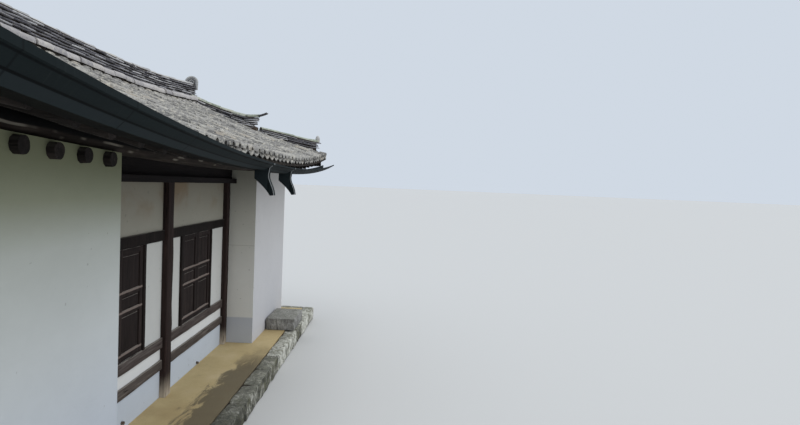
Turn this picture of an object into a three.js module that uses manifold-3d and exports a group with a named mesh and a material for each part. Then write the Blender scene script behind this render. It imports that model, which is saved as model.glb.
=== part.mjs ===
// A small tiled hanok house: a stone-edged platform, a plastered timber-frame wing building with a
// recessed front between two plastered end rooms, and a hip-and-gable roof with curved eaves.
// Millimetres, +Z up. X runs along the house, -Y faces the courtyard, Z = 0 is the ground and the
// origin lies under the middle of the ridge. Left and right are as seen from the courtyard.
import * as THREE from 'three';
import { mergeVertices } from 'three/addons/utils/BufferGeometryUtils.js';
import Module from 'manifold-3d';

// Gap between touching pieces, and how much a cutting copy is grown so that this gap is left.
const GAP = 0.3;

// The platform.
const PLATFORM_TOP = 270;
const PLATFORM_HALF_X = 5600;
const PLATFORM_HALF_Y = 2608;
const KERB_WIDTH = 237;
const RAISED_STONE = { x0: 3400, x1: 4300, y0: -2560, y1: -2020, height: 220 };

// Walls in plan. A bay is eight ja long, and the wall planes are given as distances from the ridge.
const BAY = 2424;
const POST = 182;
const FRONT_WALL_Y = -1500;
const WING_FRONT_Y = -2005;
const REAR_WALL_Y = 1590;
const END_WALL_X = 4887;
const WALL = 150;
const THIN_WALL = 100;
const LEFT_WING_FACE_X = -2222;
const RIGHT_WING_FACE_X = 2483;
const POST_PROUD = 70;
const RAIL_PROUD = 30;

// Heights of the wall timbers above the platform.
const FLOOR_TOP = 420;
const LOWER_RAIL = [360, 480];
const SILL_RAIL = [633, 762];
const HEAD_RAIL = [1981, 2109];
const BEAM_BOTTOM = 2700;
const BEAM_LEDGE = 75;
const BEAM_LEDGE_PROUD = 170;

// The windows: places of their left edges along X, and one leaf's sizes.
const WINDOW_WIDTH = 1245;
const LEFT_WINDOW_X = -1832;
const RIGHT_WINDOW_X = 490;
const JAMB = 62;
const LEAF_THICK = 34;
const LEAF_SET_BACK = -15;
const REAR_LEAF_SET_BACK = 12;
const LEAF_STILE = 75;
const LEAF_POCKET = 12;
const LEAF_PANELS = [[850, 1262], [1314, 1466], [1524, 1915]];

// The roof in plan: the eave's distance from the ridge, the gable verge and the hip line at 45 degrees.
const EAVE_D = 2750;
const DECK_D = 2650;
const VERGE_X = 4750;
const HIP_START_D = 1650;
const HIP_OFFSET = VERGE_X - HIP_START_D;
const GABLE_X = 4500;
const GABLE_THICK = 120;

// The roof in height: ridge and eave lines with their curves, low point a little right of the middle. The
// tile ends stay low up to the left corner's bend, while the timbers and the gutter rise from the low point.
const EAVE_Z = 3425;
const EAVE_LOW_X = 900;
const EAVE_RISE_RIGHT = 0.0122e-3;
const EAVE_LEFT = { bend: -2200, rise: 0.025e-3 };
const TIMBER_RISE_LEFT = 0.0096e-3;
const GUTTER_RISE_RIGHT = 0.0088e-3;
const RIDGE_BED_Z = 4560;
const RIDGE_TOP_Z = 4835;
const RIDGE_LOW_X = 1300;
const RIDGE_RISE_RIGHT = 0.0136e-3;
const RIDGE_RISE_LEFT = 0.0046e-3;
const SLOPE_SAG = 50;
const HIP_DIP = 100;
const EAVE_BED_THICK = { left: 125, right: 165 };
const TILE_ROWS = { pitch: 264, deep: 105, flat: 270, full: 420 };
const DECK_THICK = 25;
const DECK_COLUMNS = 14;
const DECK_RIDGE_DROP = 150;
const KNEE_D = 1300;
const KNEE_Z = 3613;
const DECK_EAVE_DROP = 100;

// Rafters, purlin and joists. A rafter has six sides, with a flat one below.
const RAFTER_HALF = 60;
const RAFTER_STEP = BAY / 6;
const RAFTER_AXIS_DROP = 72;
const RAFTER_TILT = 1.083;
const RAFTER_UNDER = RAFTER_AXIS_DROP + RAFTER_HALF * RAFTER_TILT;
const CORNER_RAFTER = { width: 130, height: 200, x0: 4850, x1: 5810 };
const PURLIN_R = 90;
const PURLIN_D = 1900;
const JOIST_HALF = 61;
const JOIST_DROP = 66;
const JOIST_STEP = 375;
const JOIST_COUNT = 6;
const JOIST_FIRST_X = -2475;
const JOIST_PROUD = 60;
const JOIST_BACK_Y = -1650;
const BEARER = { y0: -1760, y1: -1660, height: 80, notch: 10 };

// Ridges and ornaments. The main ridge stands on a wider foot, which stands for its half-round rows.
const RIDGE_WIDTH = 260;
const RIDGE_FOOT = { width: 524, deep: 140, side: 75, top: 122, round: 70 };
const RIDGE_CROWN = { high: 80, lean: 0.9, shoulder: 0.8 };
const RIDGE_HALF_X = 4830;
const SIDE_RIDGE_X = 4620;
const SIDE_RIDGE_WIDTH = 200;
const ORNAMENT = { width: 270, thick: 50, foot: 150, top: 5140, lean: 60 };

// Gutters, each of three lengths of sheet.
const GUTTER_JOINTS = [-5880, -2000, 2000, 5880];
const GUTTER_STEP = 560;
const GUTTER_TOP_Z = 3238;
const GUTTER_PLATE = 12;
const SPOUT_X = [-240, 1140];
const SPOUT_WIDTH = 110;

const wasm = await Module();
wasm.setup();

const finishes = {
  plaster: new THREE.MeshStandardMaterial({ color: 0xb9bbb8, roughness: 0.95 }),
  timber: new THREE.MeshStandardMaterial({ color: 0x3a2c26, roughness: 0.8 }),
  weathered: new THREE.MeshStandardMaterial({ color: 0x5a4c44, roughness: 0.85 }),
  tile: new THREE.MeshStandardMaterial({ color: 0x77767a, roughness: 0.85 }),
  stone: new THREE.MeshStandardMaterial({ color: 0x6f7370, roughness: 0.95 }),
  earth: new THREE.MeshStandardMaterial({ color: 0x9a876a, roughness: 1.0 }),
  sheet: new THREE.MeshStandardMaterial({ color: 0x2b3131, roughness: 0.55, metalness: 0.5 }),
};

const house = new THREE.Group();

function place(name, geometry, finish) {
  const mesh = new THREE.Mesh(geometry, finishes[finish]);
  mesh.name = name;
  house.add(mesh);
  return mesh;
}

// A geometry with its vertices merged, as a solid that can be joined and cut.
function solid(geometry) {
  const bare = geometry.clone();
  bare.deleteAttribute('normal');
  bare.deleteAttribute('uv');
  const merged = mergeVertices(bare, 1e-3);
  return new wasm.Manifold(new wasm.Mesh({
    numProp: 3,
    vertProperties: merged.attributes.position.array,
    triVerts: new Uint32Array(merged.index.array),
  }));
}

function geometryOf(shape) {
  const mesh = shape.getMesh();
  const geometry = new THREE.BufferGeometry();
  geometry.setAttribute('position', new THREE.BufferAttribute(new Float32Array(mesh.vertProperties), 3));
  geometry.setIndex(new THREE.BufferAttribute(new Uint32Array(mesh.triVerts), 1));
  geometry.computeVertexNormals();
  return geometry;
}

function join(parts) {
  return parts.reduce((whole, part) => whole.add(part));
}

// The piece of a cut solid that holds most of its volume.
function largest(shape) {
  return shape.decompose().reduce((best, piece) => (piece.volume() > best.volume() ? piece : best));
}

function boxGeometry(x0, x1, y0, y1, z0, z1) {
  return new THREE.BoxGeometry(x1 - x0, y1 - y0, z1 - z0)
    .translate((x0 + x1) / 2, (y0 + y1) / 2, (z0 + z1) / 2);
}

function box(...sides) {
  return solid(boxGeometry(...sides));
}

// A box of nx by ny by nz cells whose corner (a, b, c), each from 0 to 1, goes where map says.
function mapped(nx, ny, nz, map) {
  const geometry = new THREE.BoxGeometry(1, 1, 1, nx, ny, nz);
  const position = geometry.attributes.position;
  for (let i = 0; i < position.count; i++) {
    const spot = map(position.getX(i) + 0.5, position.getY(i) + 0.5, position.getZ(i) + 0.5);
    position.setXYZ(i, ...spot);
  }
  geometry.computeVertexNormals();
  return geometry;
}

// Moves every vertex of a geometry by the offset that the function gives for its place.
function shifted(geometry, offset) {
  const position = geometry.attributes.position;
  for (let i = 0; i < position.count; i++) {
    const spot = [position.getX(i), position.getY(i), position.getZ(i)];
    const move = offset(...spot);
    position.setXYZ(i, spot[0] + move[0], spot[1] + move[1], spot[2] + move[2]);
  }
  geometry.computeVertexNormals();
  return geometry;
}

const mix = (p, q, t) => p + (q - p) * t;
const square = (v) => v * v;

// A value from a list of stops, read at a share t of the way through the list.
function stopAt(stops, t) {
  const spot = t * (stops.length - 1);
  const low = Math.min(Math.floor(spot + 1e-6), stops.length - 2);
  return mix(stops[low], stops[low + 1], spot - low);
}

// Heights of the roof. d is the distance from the ridge in plan.
const eaveRise = (x) => (x > EAVE_LOW_X
  ? EAVE_RISE_RIGHT * square(x - EAVE_LOW_X)
  : EAVE_LEFT.rise * square(Math.min(0, x - EAVE_LEFT.bend)));
const timberRise = (x) => (x > EAVE_LOW_X ? EAVE_RISE_RIGHT : TIMBER_RISE_LEFT) * square(x - EAVE_LOW_X);
const gutterRise = (x) => (x > EAVE_LOW_X ? GUTTER_RISE_RIGHT : TIMBER_RISE_LEFT) * square(x - EAVE_LOW_X);
const purlinRise = (x) => 0.5 * timberRise(x);
const ridgeRise = (x) => (x > RIDGE_LOW_X ? RIDGE_RISE_RIGHT : RIDGE_RISE_LEFT) * square(x - RIDGE_LOW_X);

function tileTop(x, d) {
  const t = d / EAVE_D;
  const chord = mix(RIDGE_BED_Z + ridgeRise(x), EAVE_Z + eaveRise(x), t);
  return chord - 4 * SLOPE_SAG * t * (1 - t);
}

// The bed's thickness at the eave, a little less towards the left corner.
function eaveBedThick(x) {
  const share = Math.min(1, Math.max(0, x / EAVE_LEFT.bend));
  return mix(EAVE_BED_THICK.right, EAVE_BED_THICK.left, share);
}

// The boards lie on rafters that are straight from knee to eave and pass over the purlin.
const PURLIN_SHARE = (PURLIN_D - KNEE_D) / (DECK_D - KNEE_D);
function deckTop(x, d) {
  const knee = KNEE_Z + (purlinRise(x) - PURLIN_SHARE * eaveRise(x)) / (1 - PURLIN_SHARE);
  if (d < KNEE_D) return mix(RIDGE_BED_Z - DECK_RIDGE_DROP + ridgeRise(x), knee, d / KNEE_D);
  const eave = EAVE_Z - DECK_EAVE_DROP + eaveRise(x);
  return mix(knee, eave, (d - KNEE_D) / (DECK_D - KNEE_D));
}

// The hip ends follow the front slope's heights along the 45-degree hip line and dip between corners.
function hipDip(x, y) {
  const dEq = Math.abs(x) - HIP_OFFSET;
  const reach = (Math.abs(x) - GABLE_X) / (HIP_OFFSET + EAVE_D - GABLE_X);
  return HIP_DIP * Math.max(0, reach) * (1 - Math.min(1, square(y / dEq)));
}
const hipTileTop = (x, y) => tileTop(x, Math.abs(x) - HIP_OFFSET) - hipDip(x, y);
const hipDeckTop = (x, y) => deckTop(x, Math.abs(x) - HIP_OFFSET) - hipDip(x, y);

// A straight log between two points, grown by g all round. half is its half width across flat sides.
function log(from, to, half, sides, g) {
  const start = new THREE.Vector3(...from);
  const end = new THREE.Vector3(...to);
  const along = end.clone().sub(start);
  const radius = (half + g) / Math.cos(Math.PI / sides);
  const geometry = new THREE.CylinderGeometry(radius, radius, along.length() + 2 * g, sides)
    .rotateY(Math.PI / sides);
  const turn = new THREE.Quaternion().setFromUnitVectors(new THREE.Vector3(0, 1, 0), along.normalize());
  geometry.applyQuaternion(turn);
  const middle = start.add(end).multiplyScalar(0.5);
  return solid(geometry.translate(middle.x, middle.y, middle.z));
}

// Platform: tamped earth inside a ring of edge stones, and the raised stone at its right end.
const kerbInside = { x: PLATFORM_HALF_X - KERB_WIDTH, y: PLATFORM_HALF_Y - KERB_WIDTH };
const coreX = kerbInside.x - GAP;
const coreY = kerbInside.y - GAP;
place('stylobate', boxGeometry(-coreX, coreX, -coreY, coreY, 0, PLATFORM_TOP), 'earth');
const kerb = box(-PLATFORM_HALF_X, PLATFORM_HALF_X, -PLATFORM_HALF_Y, PLATFORM_HALF_Y, 0, PLATFORM_TOP)
  .subtract(box(-kerbInside.x, kerbInside.x, -kerbInside.y, kerbInside.y, -10, PLATFORM_TOP + 10));
place('stone_kerb', geometryOf(kerb), 'stone');
const stoneBox = [RAISED_STONE.x0, RAISED_STONE.x1, RAISED_STONE.y0, RAISED_STONE.y1,
  PLATFORM_TOP + GAP, PLATFORM_TOP + RAISED_STONE.height];
place('raised_stone', boxGeometry(...stoneBox), 'stone');

const Z0 = PLATFORM_TOP + GAP;
const high = (h) => PLATFORM_TOP + h;

// Rafters with their roof boards. Each side's rafters hang under one deck. g grows the cutting copy. The
// rafters start a little beyond the eave's plane, where their ends are cut off upright.
const RAFTER_SPARE = 15;
function slopeDeck(side, g) {
  const rows = [g > 0 ? -g : GAP, KNEE_D, HIP_START_D + 93, DECK_D + g];
  const halfAt = (d) => VERGE_X + g + Math.max(0, d - HIP_START_D - 93);
  return solid(mapped(DECK_COLUMNS, rows.length - 1, 1, (a, b, c) => {
    const d = stopAt(rows, side < 0 ? 1 - b : b);
    const x = (2 * a - 1) * halfAt(d);
    const top = deckTop(x, Math.max(0, d));
    return [x, side * d, c > 0.5 ? top + g : top - DECK_THICK - g];
  }));
}

function slopeRafter(side, x0, d0, x1, d1, g) {
  const from = [x0, side * d0, deckTop(x0, d0) - RAFTER_AXIS_DROP];
  const to = [x1, side * d1, deckTop(x1, d1) - RAFTER_AXIS_DROP];
  return log(from, to, RAFTER_HALF, 6, g);
}

const RAFTER_REACH = 11;
const FAN_START_D = 1500;
const FAN_STARTS = [4400, 4450, 4450];
const FAN_ENDS = [4850, 5150, 5450];
function slopeRafters(side, g) {
  const parts = [slopeDeck(side, g)];
  for (let k = -RAFTER_REACH; k <= RAFTER_REACH; k++) {
    const x = k * RAFTER_STEP;
    parts.push(slopeRafter(side, x, KNEE_D, x, DECK_D + RAFTER_SPARE, g));
  }
  for (const hand of [-1, 1]) {
    FAN_ENDS.forEach((end, i) => {
      const start = hand * FAN_STARTS[i];
      parts.push(slopeRafter(side, start, FAN_START_D, hand * end, DECK_D + RAFTER_SPARE, g));
    });
  }
  return join(parts);
}

// The corner rafter under a hip line, and a hip end's deck with its rafters.
function cornerRafter(hand, side, g) {
  const half = CORNER_RAFTER.width / 2 + g;
  return solid(mapped(1, 4, 1, (a, b, c) => {
    const x = mix(CORNER_RAFTER.x0 - g, CORNER_RAFTER.x1 + g, b);
    const d = x - HIP_OFFSET;
    const across = (2 * a - 1) * half / Math.SQRT2;
    const top = deckTop(hand * x, d) + g;
    const z = c > 0.5 ? top - 2 : top - CORNER_RAFTER.height - 2 * g;
    const flip = hand * side;
    return [hand * (x + flip * across), side * (d - flip * across), z];
  }));
}

const HIP_DECK_X = [4760, HIP_OFFSET + DECK_D];
const TONGUE = { halfY: 800, deckX0: 4330, bedX0: GABLE_X + GAP };
const HIP_RAFTER = { long: 4440, short: 4790, reach: 3 };
const HIP_FAN = { x: 4800, y: 1450, stops: [1650, 2000, 2320] };
function hipDeck(hand, g) {
  const main = mapped(4, 10, 1, (a, b, c) => {
    const x = mix(HIP_DECK_X[0] - g, HIP_DECK_X[1] + g, hand > 0 ? a : 1 - a);
    const y = (2 * b - 1) * (x - HIP_OFFSET - 0.7 + g);
    const top = hipDeckTop(hand * x, y);
    return [hand * x, y, c > 0.5 ? top + g : top - DECK_THICK - g];
  });
  const tongue = mapped(1, 4, 1, (a, b, c) => {
    const x = mix(TONGUE.deckX0 - g, HIP_DECK_X[0] + 5, hand > 0 ? a : 1 - a);
    const y = (2 * b - 1) * (TONGUE.halfY + g);
    const top = hipDeckTop(hand * x, y);
    return [hand * x, y, c > 0.5 ? top + g : top - DECK_THICK - g];
  });
  return [solid(main), solid(tongue)];
}

function hipRafter(hand, x0, y0, x1, y1, g) {
  const from = [hand * x0, y0, hipDeckTop(hand * x0, y0) - RAFTER_AXIS_DROP];
  const to = [hand * x1, y1, hipDeckTop(hand * x1, y1) - RAFTER_AXIS_DROP];
  return log(from, to, RAFTER_HALF, 6, g);
}

function hipRafters(hand, g) {
  const parts = hipDeck(hand, g);
  const end = HIP_DECK_X[1] - 1;
  for (let k = -HIP_RAFTER.reach; k <= HIP_RAFTER.reach; k++) {
    const y = k * RAFTER_STEP;
    const start = Math.abs(y) < TONGUE.halfY ? HIP_RAFTER.long : HIP_RAFTER.short;
    parts.push(hipRafter(hand, start, y, end, y, g));
  }
  for (const side of [-1, 1]) {
    for (const stop of HIP_FAN.stops) {
      parts.push(hipRafter(hand, HIP_FAN.x, side * HIP_FAN.y, end, side * stop, g));
    }
    parts.push(cornerRafter(hand, side, g));
  }
  return join(parts);
}

const sides = [['front', -1], ['rear', 1]];
const hands = [['left', -1], ['right', 1]];
const underEaves = (g) => box(-HIP_DECK_X[1] - g, HIP_DECK_X[1] + g, -DECK_D - g, DECK_D + g, 2800, 4700);
const rafters = {};
for (const [word, side] of sides) rafters[word] = slopeRafters(side, 0).intersect(underEaves(0));
for (const [word, hand] of hands) rafters[word] = hipRafters(hand, 0).intersect(underEaves(0));
const cutters = {};
for (const [word, side] of sides) cutters[word] = slopeRafters(side, GAP).intersect(underEaves(GAP));
for (const [word, hand] of hands) cutters[word] = hipRafters(hand, GAP).intersect(underEaves(GAP));
const allRafters = join(Object.values(cutters));
for (const [word] of sides) {
  const clear = rafters[word].subtract(cutters.left).subtract(cutters.right);
  place(`${word}_rafters`, geometryOf(largest(clear)), 'timber');
}
for (const [word] of hands) place(`${word}_hip_rafters`, geometryOf(rafters[word]), 'timber');

// The tile beds of the four roof sides. g grows the cutting copy. On the long sides the tops of the beds
// are folded into the rows of cover tiles, with pan tiles low between them, up to the flat strip that the
// main ridge covers. A bed lies on its deck and is as thick as its tile ends beyond the deck's edge.
const BED_BOTTOM_ROWS = [GAP, KNEE_D, DECK_D, DECK_D + 2, EAVE_D];
const BED_TOP_ROWS = [GAP, TILE_ROWS.flat, TILE_ROWS.full, 950, 1500, 2100, EAVE_D];
const FAR_BELOW = 2500;
const FAR_ABOVE = 5500;
function bedBottom(x, d, top, deck) {
  return d > DECK_D + 1 ? top - eaveBedThick(x) : deck - 10;
}

// What a long side covers in plan: straight verges, then the hip lines at 45 degrees.
function slopeOutline(side, g) {
  const points = [[VERGE_X + g, -g], [VERGE_X + g, HIP_START_D], [HIP_OFFSET + EAVE_D + 2 * g, EAVE_D + g]];
  const outline = [...points, ...points.map(([x, d]) => [-x, d]).reverse()];
  const shape = new THREE.Shape(outline.map(([x, d]) => new THREE.Vector2(x, side * d)));
  const geometry = new THREE.ExtrudeGeometry(shape, { depth: FAR_ABOVE - FAR_BELOW, bevelEnabled: false });
  return solid(geometry.translate(0, 0, FAR_BELOW));
}

function grownRows(rows, g) {
  const grown = [...rows];
  if (g > 0) grown[0] = -g;
  grown[grown.length - 1] += g;
  return grown;
}

function slopeBed(side, g) {
  const folds = 2 * Math.ceil((HIP_OFFSET + EAVE_D) / TILE_ROWS.pitch);
  const reach = folds * TILE_ROWS.pitch / 2;
  const surface = (columns, rows, heights) => solid(mapped(columns, rows.length - 1, 1, (a, b, c) => {
    const d = stopAt(rows, side < 0 ? 1 - b : b);
    const x = (2 * a - 1) * reach;
    return [x, side * d, heights(x, d, tileTop(x, Math.max(0, d)), c > 0.5)];
  }));
  const foldedTop = surface(2 * folds, grownRows(BED_TOP_ROWS, g), (x, d, top, upper) => {
    const inValley = Math.round(2 * x / TILE_ROWS.pitch) % 2 === 0 && d > TILE_ROWS.flat;
    return upper ? top - (inValley ? TILE_ROWS.deep : 0) + g : FAR_BELOW;
  });
  const smoothBottom = surface(DECK_COLUMNS, grownRows(BED_BOTTOM_ROWS, g), (x, d, top, upper) =>
    (upper ? FAR_ABOVE : bedBottom(x, d, top, deckTop(x, Math.max(0, d))) - g));
  return foldedTop.intersect(smoothBottom).intersect(slopeOutline(side, g));
}

function hipBed(hand, g) {
  const deckEnd = HIP_OFFSET + DECK_D;
  const stops = [VERGE_X + 2 * GAP - g, 5000, 5300, 5550, deckEnd, deckEnd + 2, HIP_OFFSET + EAVE_D + g];
  const main = mapped(stops.length - 1, 12, 1, (a, b, c) => {
    const x = stopAt(stops, hand > 0 ? a : 1 - a);
    const y = (2 * b - 1) * (x - HIP_OFFSET - 1 + g);
    const top = hipTileTop(hand * x, y);
    const bottom = bedBottom(hand * x, x - HIP_OFFSET, top, hipDeckTop(hand * x, y));
    return [hand * x, y, c > 0.5 ? top + g : bottom - g];
  });
  const tongue = mapped(1, 4, 1, (a, b, c) => {
    const x = mix(TONGUE.bedX0, VERGE_X + 5, hand > 0 ? a : 1 - a);
    const y = (2 * b - 1) * (TONGUE.halfY - 20 + g);
    const top = hipTileTop(hand * x, y);
    return [hand * x, y, c > 0.5 ? top + g : hipDeckTop(hand * x, y) - 10 - g];
  });
  return solid(main).add(solid(tongue));
}

const bedCutters = {};
for (const [word, side] of sides) {
  place(`${word}_roof_slope`, geometryOf(largest(slopeBed(side, 0).subtract(allRafters))), 'tile');
  bedCutters[word] = slopeBed(side, GAP);
}
for (const [word, hand] of hands) {
  const bed = hipBed(hand, 0).subtract(allRafters);
  place(`${word}_hip_slope`, geometryOf(largest(bed)), 'tile');
  bedCutters[word] = hipBed(hand, GAP);
}
const allBeds = join(Object.values(bedCutters));

// The front purlin, a long log that follows the eave's curve and is notched by the rafters.
const PURLIN_Z = deckTop(EAVE_LOW_X, PURLIN_D) - RAFTER_AXIS_DROP - RAFTER_HALF - PURLIN_R;
function frontPurlin(g) {
  const half = END_WALL_X + g;
  const geometry = new THREE.CylinderGeometry(PURLIN_R + g, PURLIN_R + g, 2 * half, 12, 14)
    .rotateZ(Math.PI / 2)
    .translate(0, -PURLIN_D, PURLIN_Z);
  return solid(shifted(geometry, (x) => [0, 0, purlinRise(x)]));
}
place('front_purlin', geometryOf(largest(frontPurlin(0).subtract(allRafters))), 'weathered');
const purlinCutter = frontPurlin(GAP);

// The end rooms stand forward of the recess. Their front walls carry the purlin in a shallow groove.
const WALL_TOP_GROOVE = 8;
function wingFront(x0, x1) {
  const inside = WING_FRONT_Y + WALL;
  return solid(mapped(8, 1, 1, (a, b, c) => {
    const x = mix(x0, x1, a);
    const top = PURLIN_Z - PURLIN_R + WALL_TOP_GROOVE + purlinRise(x);
    return [x, mix(WING_FRONT_Y, inside, b), c > 0.5 ? top : Z0];
  }));
}

// Joists of the left room, whose ends show through its front wall under the purlin. They follow the
// purlin's curve, and one bearer behind the wall carries them.
const joistAxis = (x) => PURLIN_Z - PURLIN_R - JOIST_DROP + purlinRise(x);
function wingJoists(g) {
  const parts = [];
  for (let k = 0; k < JOIST_COUNT; k++) {
    const x = JOIST_FIRST_X - k * JOIST_STEP;
    const z = joistAxis(x);
    parts.push(log([x, WING_FRONT_Y - JOIST_PROUD, z], [x, JOIST_BACK_Y, z], JOIST_HALF, 10, g));
  }
  const ends = [-END_WALL_X + WALL + 5 - g, LEFT_WING_FACE_X - WALL - 5 + g];
  parts.push(solid(mapped(JOIST_COUNT, 1, 1, (a, b, c) => {
    const x = mix(...ends, a);
    const seat = joistAxis(x) - JOIST_HALF;
    const z = c > 0.5 ? seat + BEARER.notch + g : seat - BEARER.height - g;
    return [x, mix(BEARER.y0 - g, BEARER.y1 + g, b), z];
  })));
  return join(parts);
}
place('wing_joists', geometryOf(wingJoists(0)), 'timber');
const joistCutter = wingJoists(GAP);

const leftFront = wingFront(-END_WALL_X, LEFT_WING_FACE_X).subtract(joistCutter).subtract(purlinCutter);
place('left_wing_front_wall', geometryOf(largest(leftFront)), 'plaster');
const rightFront = wingFront(RIGHT_WING_FACE_X, END_WALL_X).subtract(purlinCutter);
place('right_wing_front_wall', geometryOf(largest(rightFront)), 'plaster');

// A wall that rises to the undersides of the rafters. Its top follows the roof at the given stops.
const rafterUnder = (x, y) => Math.min(deckTop(x, Math.abs(y)), hipDeckTop(x, y)) - RAFTER_UNDER - GAP;
function wallToRoof(xStops, yStops) {
  const raw = solid(mapped(xStops.length - 1, yStops.length - 1, 1, (a, b, c) => {
    const x = stopAt(xStops, a);
    const y = stopAt(yStops, b);
    return [x, y, c > 0.5 ? rafterUnder(x, y) : Z0];
  }));
  return largest(raw.subtract(allRafters).subtract(purlinCutter));
}
const rafterLines = (reach) => {
  const lines = [];
  for (let k = -reach; k <= reach; k++) lines.push(k * RAFTER_STEP);
  return lines;
};
const wingBack = FRONT_WALL_Y + THIN_WALL;
const wingInside = WING_FRONT_Y + WALL + GAP;
const leftSide = wallToRoof([LEFT_WING_FACE_X - WALL, LEFT_WING_FACE_X], [wingInside, wingBack]);
place('left_wing_side_wall', geometryOf(largest(leftSide.subtract(joistCutter))), 'plaster');
const rightSide = wallToRoof([RIGHT_WING_FACE_X, RIGHT_WING_FACE_X + WALL], [wingInside, wingBack]);
place('right_wing_side_wall', geometryOf(rightSide), 'plaster');
const endBack = REAR_WALL_Y - WALL - GAP;
const endStops = [wingInside, -1500, ...rafterLines(3), endBack];
const leftEnd = wallToRoof([-END_WALL_X, WALL - END_WALL_X], endStops);
place('left_end_wall', geometryOf(leftEnd), 'plaster');
const rightEnd = wallToRoof([END_WALL_X - WALL, END_WALL_X], endStops);
place('right_end_wall', geometryOf(rightEnd), 'plaster');

// The recessed front: two posts, the beam over them, and two bays of wall with a window in each.
const postTop = high(BEAM_BOTTOM) - GAP;
const postY = [FRONT_WALL_Y - POST_PROUD, FRONT_WALL_Y - POST_PROUD + POST];
place('middle_post', boxGeometry(-POST / 2, POST / 2, ...postY, Z0, postTop), 'timber');
place('right_post', boxGeometry(BAY - POST / 2, RIGHT_WING_FACE_X - GAP, ...postY, Z0, postTop), 'timber');

const beamX = [LEFT_WING_FACE_X + GAP, RIGHT_WING_FACE_X - GAP];
const ledge = box(...beamX, FRONT_WALL_Y - BEAM_LEDGE_PROUD, FRONT_WALL_Y + POST / 2,
  high(BEAM_BOTTOM), high(BEAM_BOTTOM + BEAM_LEDGE));
const beamStops = [beamX[0], ...rafterLines(5), 6 * RAFTER_STEP, beamX[1]];
const beamUpper = solid(mapped(beamStops.length - 1, 1, 1, (a, b, c) => {
  const x = stopAt(beamStops, a);
  const y = mix(FRONT_WALL_Y - POST / 2, FRONT_WALL_Y + POST / 2, b);
  return [x, y, c > 0.5 ? rafterUnder(x, y) : high(BEAM_BOTTOM + BEAM_LEDGE) - 1];
}));
place('front_beam', geometryOf(ledge.add(beamUpper)), 'timber');

// A leaf of a shutter: one board with three sunk panels on its outer face.
function leaf(x0, x1) {
  const face = FRONT_WALL_Y + LEAF_SET_BACK;
  const bottom = high(SILL_RAIL[1]) + 3;
  const top = high(HEAD_RAIL[0]) - 3;
  const board = box(x0, x1, face, face + LEAF_THICK, bottom, top);
  const pockets = LEAF_PANELS.map(([low, tall]) =>
    box(x0 + LEAF_STILE, x1 - LEAF_STILE, face - 5, face + LEAF_POCKET, high(low), high(tall)));
  return pockets.reduce((whole, pocket) => whole.subtract(pocket), board);
}

function bay(word, x0, x1, windowX) {
  const windowEnd = windowX + WINDOW_WIDTH;
  const back = FRONT_WALL_Y + THIN_WALL;
  const opening = box(windowX - GAP, windowEnd + GAP, FRONT_WALL_Y - 10, back + 10,
    high(SILL_RAIL[1]) - 2, high(HEAD_RAIL[0]) + 2);
  const wall = box(x0, x1, FRONT_WALL_Y, back, Z0, postTop).subtract(opening);
  place(`${word}_bay_wall`, geometryOf(wall), 'plaster');
  const railY = [FRONT_WALL_Y - RAIL_PROUD, FRONT_WALL_Y - GAP];
  const rail = ([low, top]) => box(x0, x1, ...railY, high(low), high(top));
  place(`${word}_bay_lower_rail`, geometryOf(rail(LOWER_RAIL)), 'weathered');
  const jamb = (x) => box(x, x + JAMB, railY[0], back - 10, high(SILL_RAIL[1]) - 1, high(HEAD_RAIL[0]) + 1);
  const frame = join([rail(SILL_RAIL), rail(HEAD_RAIL), jamb(windowX), jamb(windowEnd - JAMB)]);
  place(`${word}_window_frame`, geometryOf(frame), 'timber');
  const meet = (windowX + windowEnd) / 2;
  place(`${word}_window_left_leaf`, geometryOf(leaf(windowX + JAMB + GAP, meet - 1)), 'timber');
  place(`${word}_window_right_leaf`, geometryOf(leaf(meet + 1, windowEnd - JAMB - GAP)), 'timber');
}
bay('left', LEFT_WING_FACE_X + GAP, -POST / 2 - GAP, LEFT_WINDOW_X);
bay('right', POST / 2 + GAP, BAY - POST / 2 - GAP, RIGHT_WINDOW_X);

// The rear wall repeats the front's timbers and windows on one plane.
const REAR_WINDOW_X = [-BAY / 2 - WINDOW_WIDTH / 2, BAY / 2 - WINDOW_WIDTH / 2];
const rearInside = REAR_WALL_Y - WALL;
const rearOpenings = REAR_WINDOW_X.map((x) => box(x - GAP, x + WINDOW_WIDTH + GAP, rearInside - 10,
  REAR_WALL_Y + 10, high(SILL_RAIL[1]) - 2, high(HEAD_RAIL[0]) + 2));
const rearWall = rearOpenings.reduce((wall, hole) => wall.subtract(hole),
  wallToRoof([-END_WALL_X, ...rafterLines(11), END_WALL_X], [rearInside, REAR_WALL_Y]));
place('rear_wall', geometryOf(rearWall), 'plaster');

const frameY = [REAR_WALL_Y + GAP, REAR_WALL_Y + RAIL_PROUD + GAP];
const REAR_BAY = BAY - POST / 4;
const REAR_BEAM = [BEAM_BOTTOM, BEAM_BOTTOM + 160];
const rearTimbers = [-2, -1, 0, 1, 2].map((k) => {
  const x = k * REAR_BAY;
  return box(x - POST / 2, x + POST / 2, ...frameY, Z0, high(REAR_BEAM[1]) - 10);
});
const rearHalf = 2 * REAR_BAY;
for (const [low, top] of [LOWER_RAIL, SILL_RAIL, HEAD_RAIL, REAR_BEAM]) {
  rearTimbers.push(box(-rearHalf, rearHalf, ...frameY, high(low), high(top)));
}
place('rear_timber_frame', geometryOf(join(rearTimbers)), 'timber');

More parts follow.
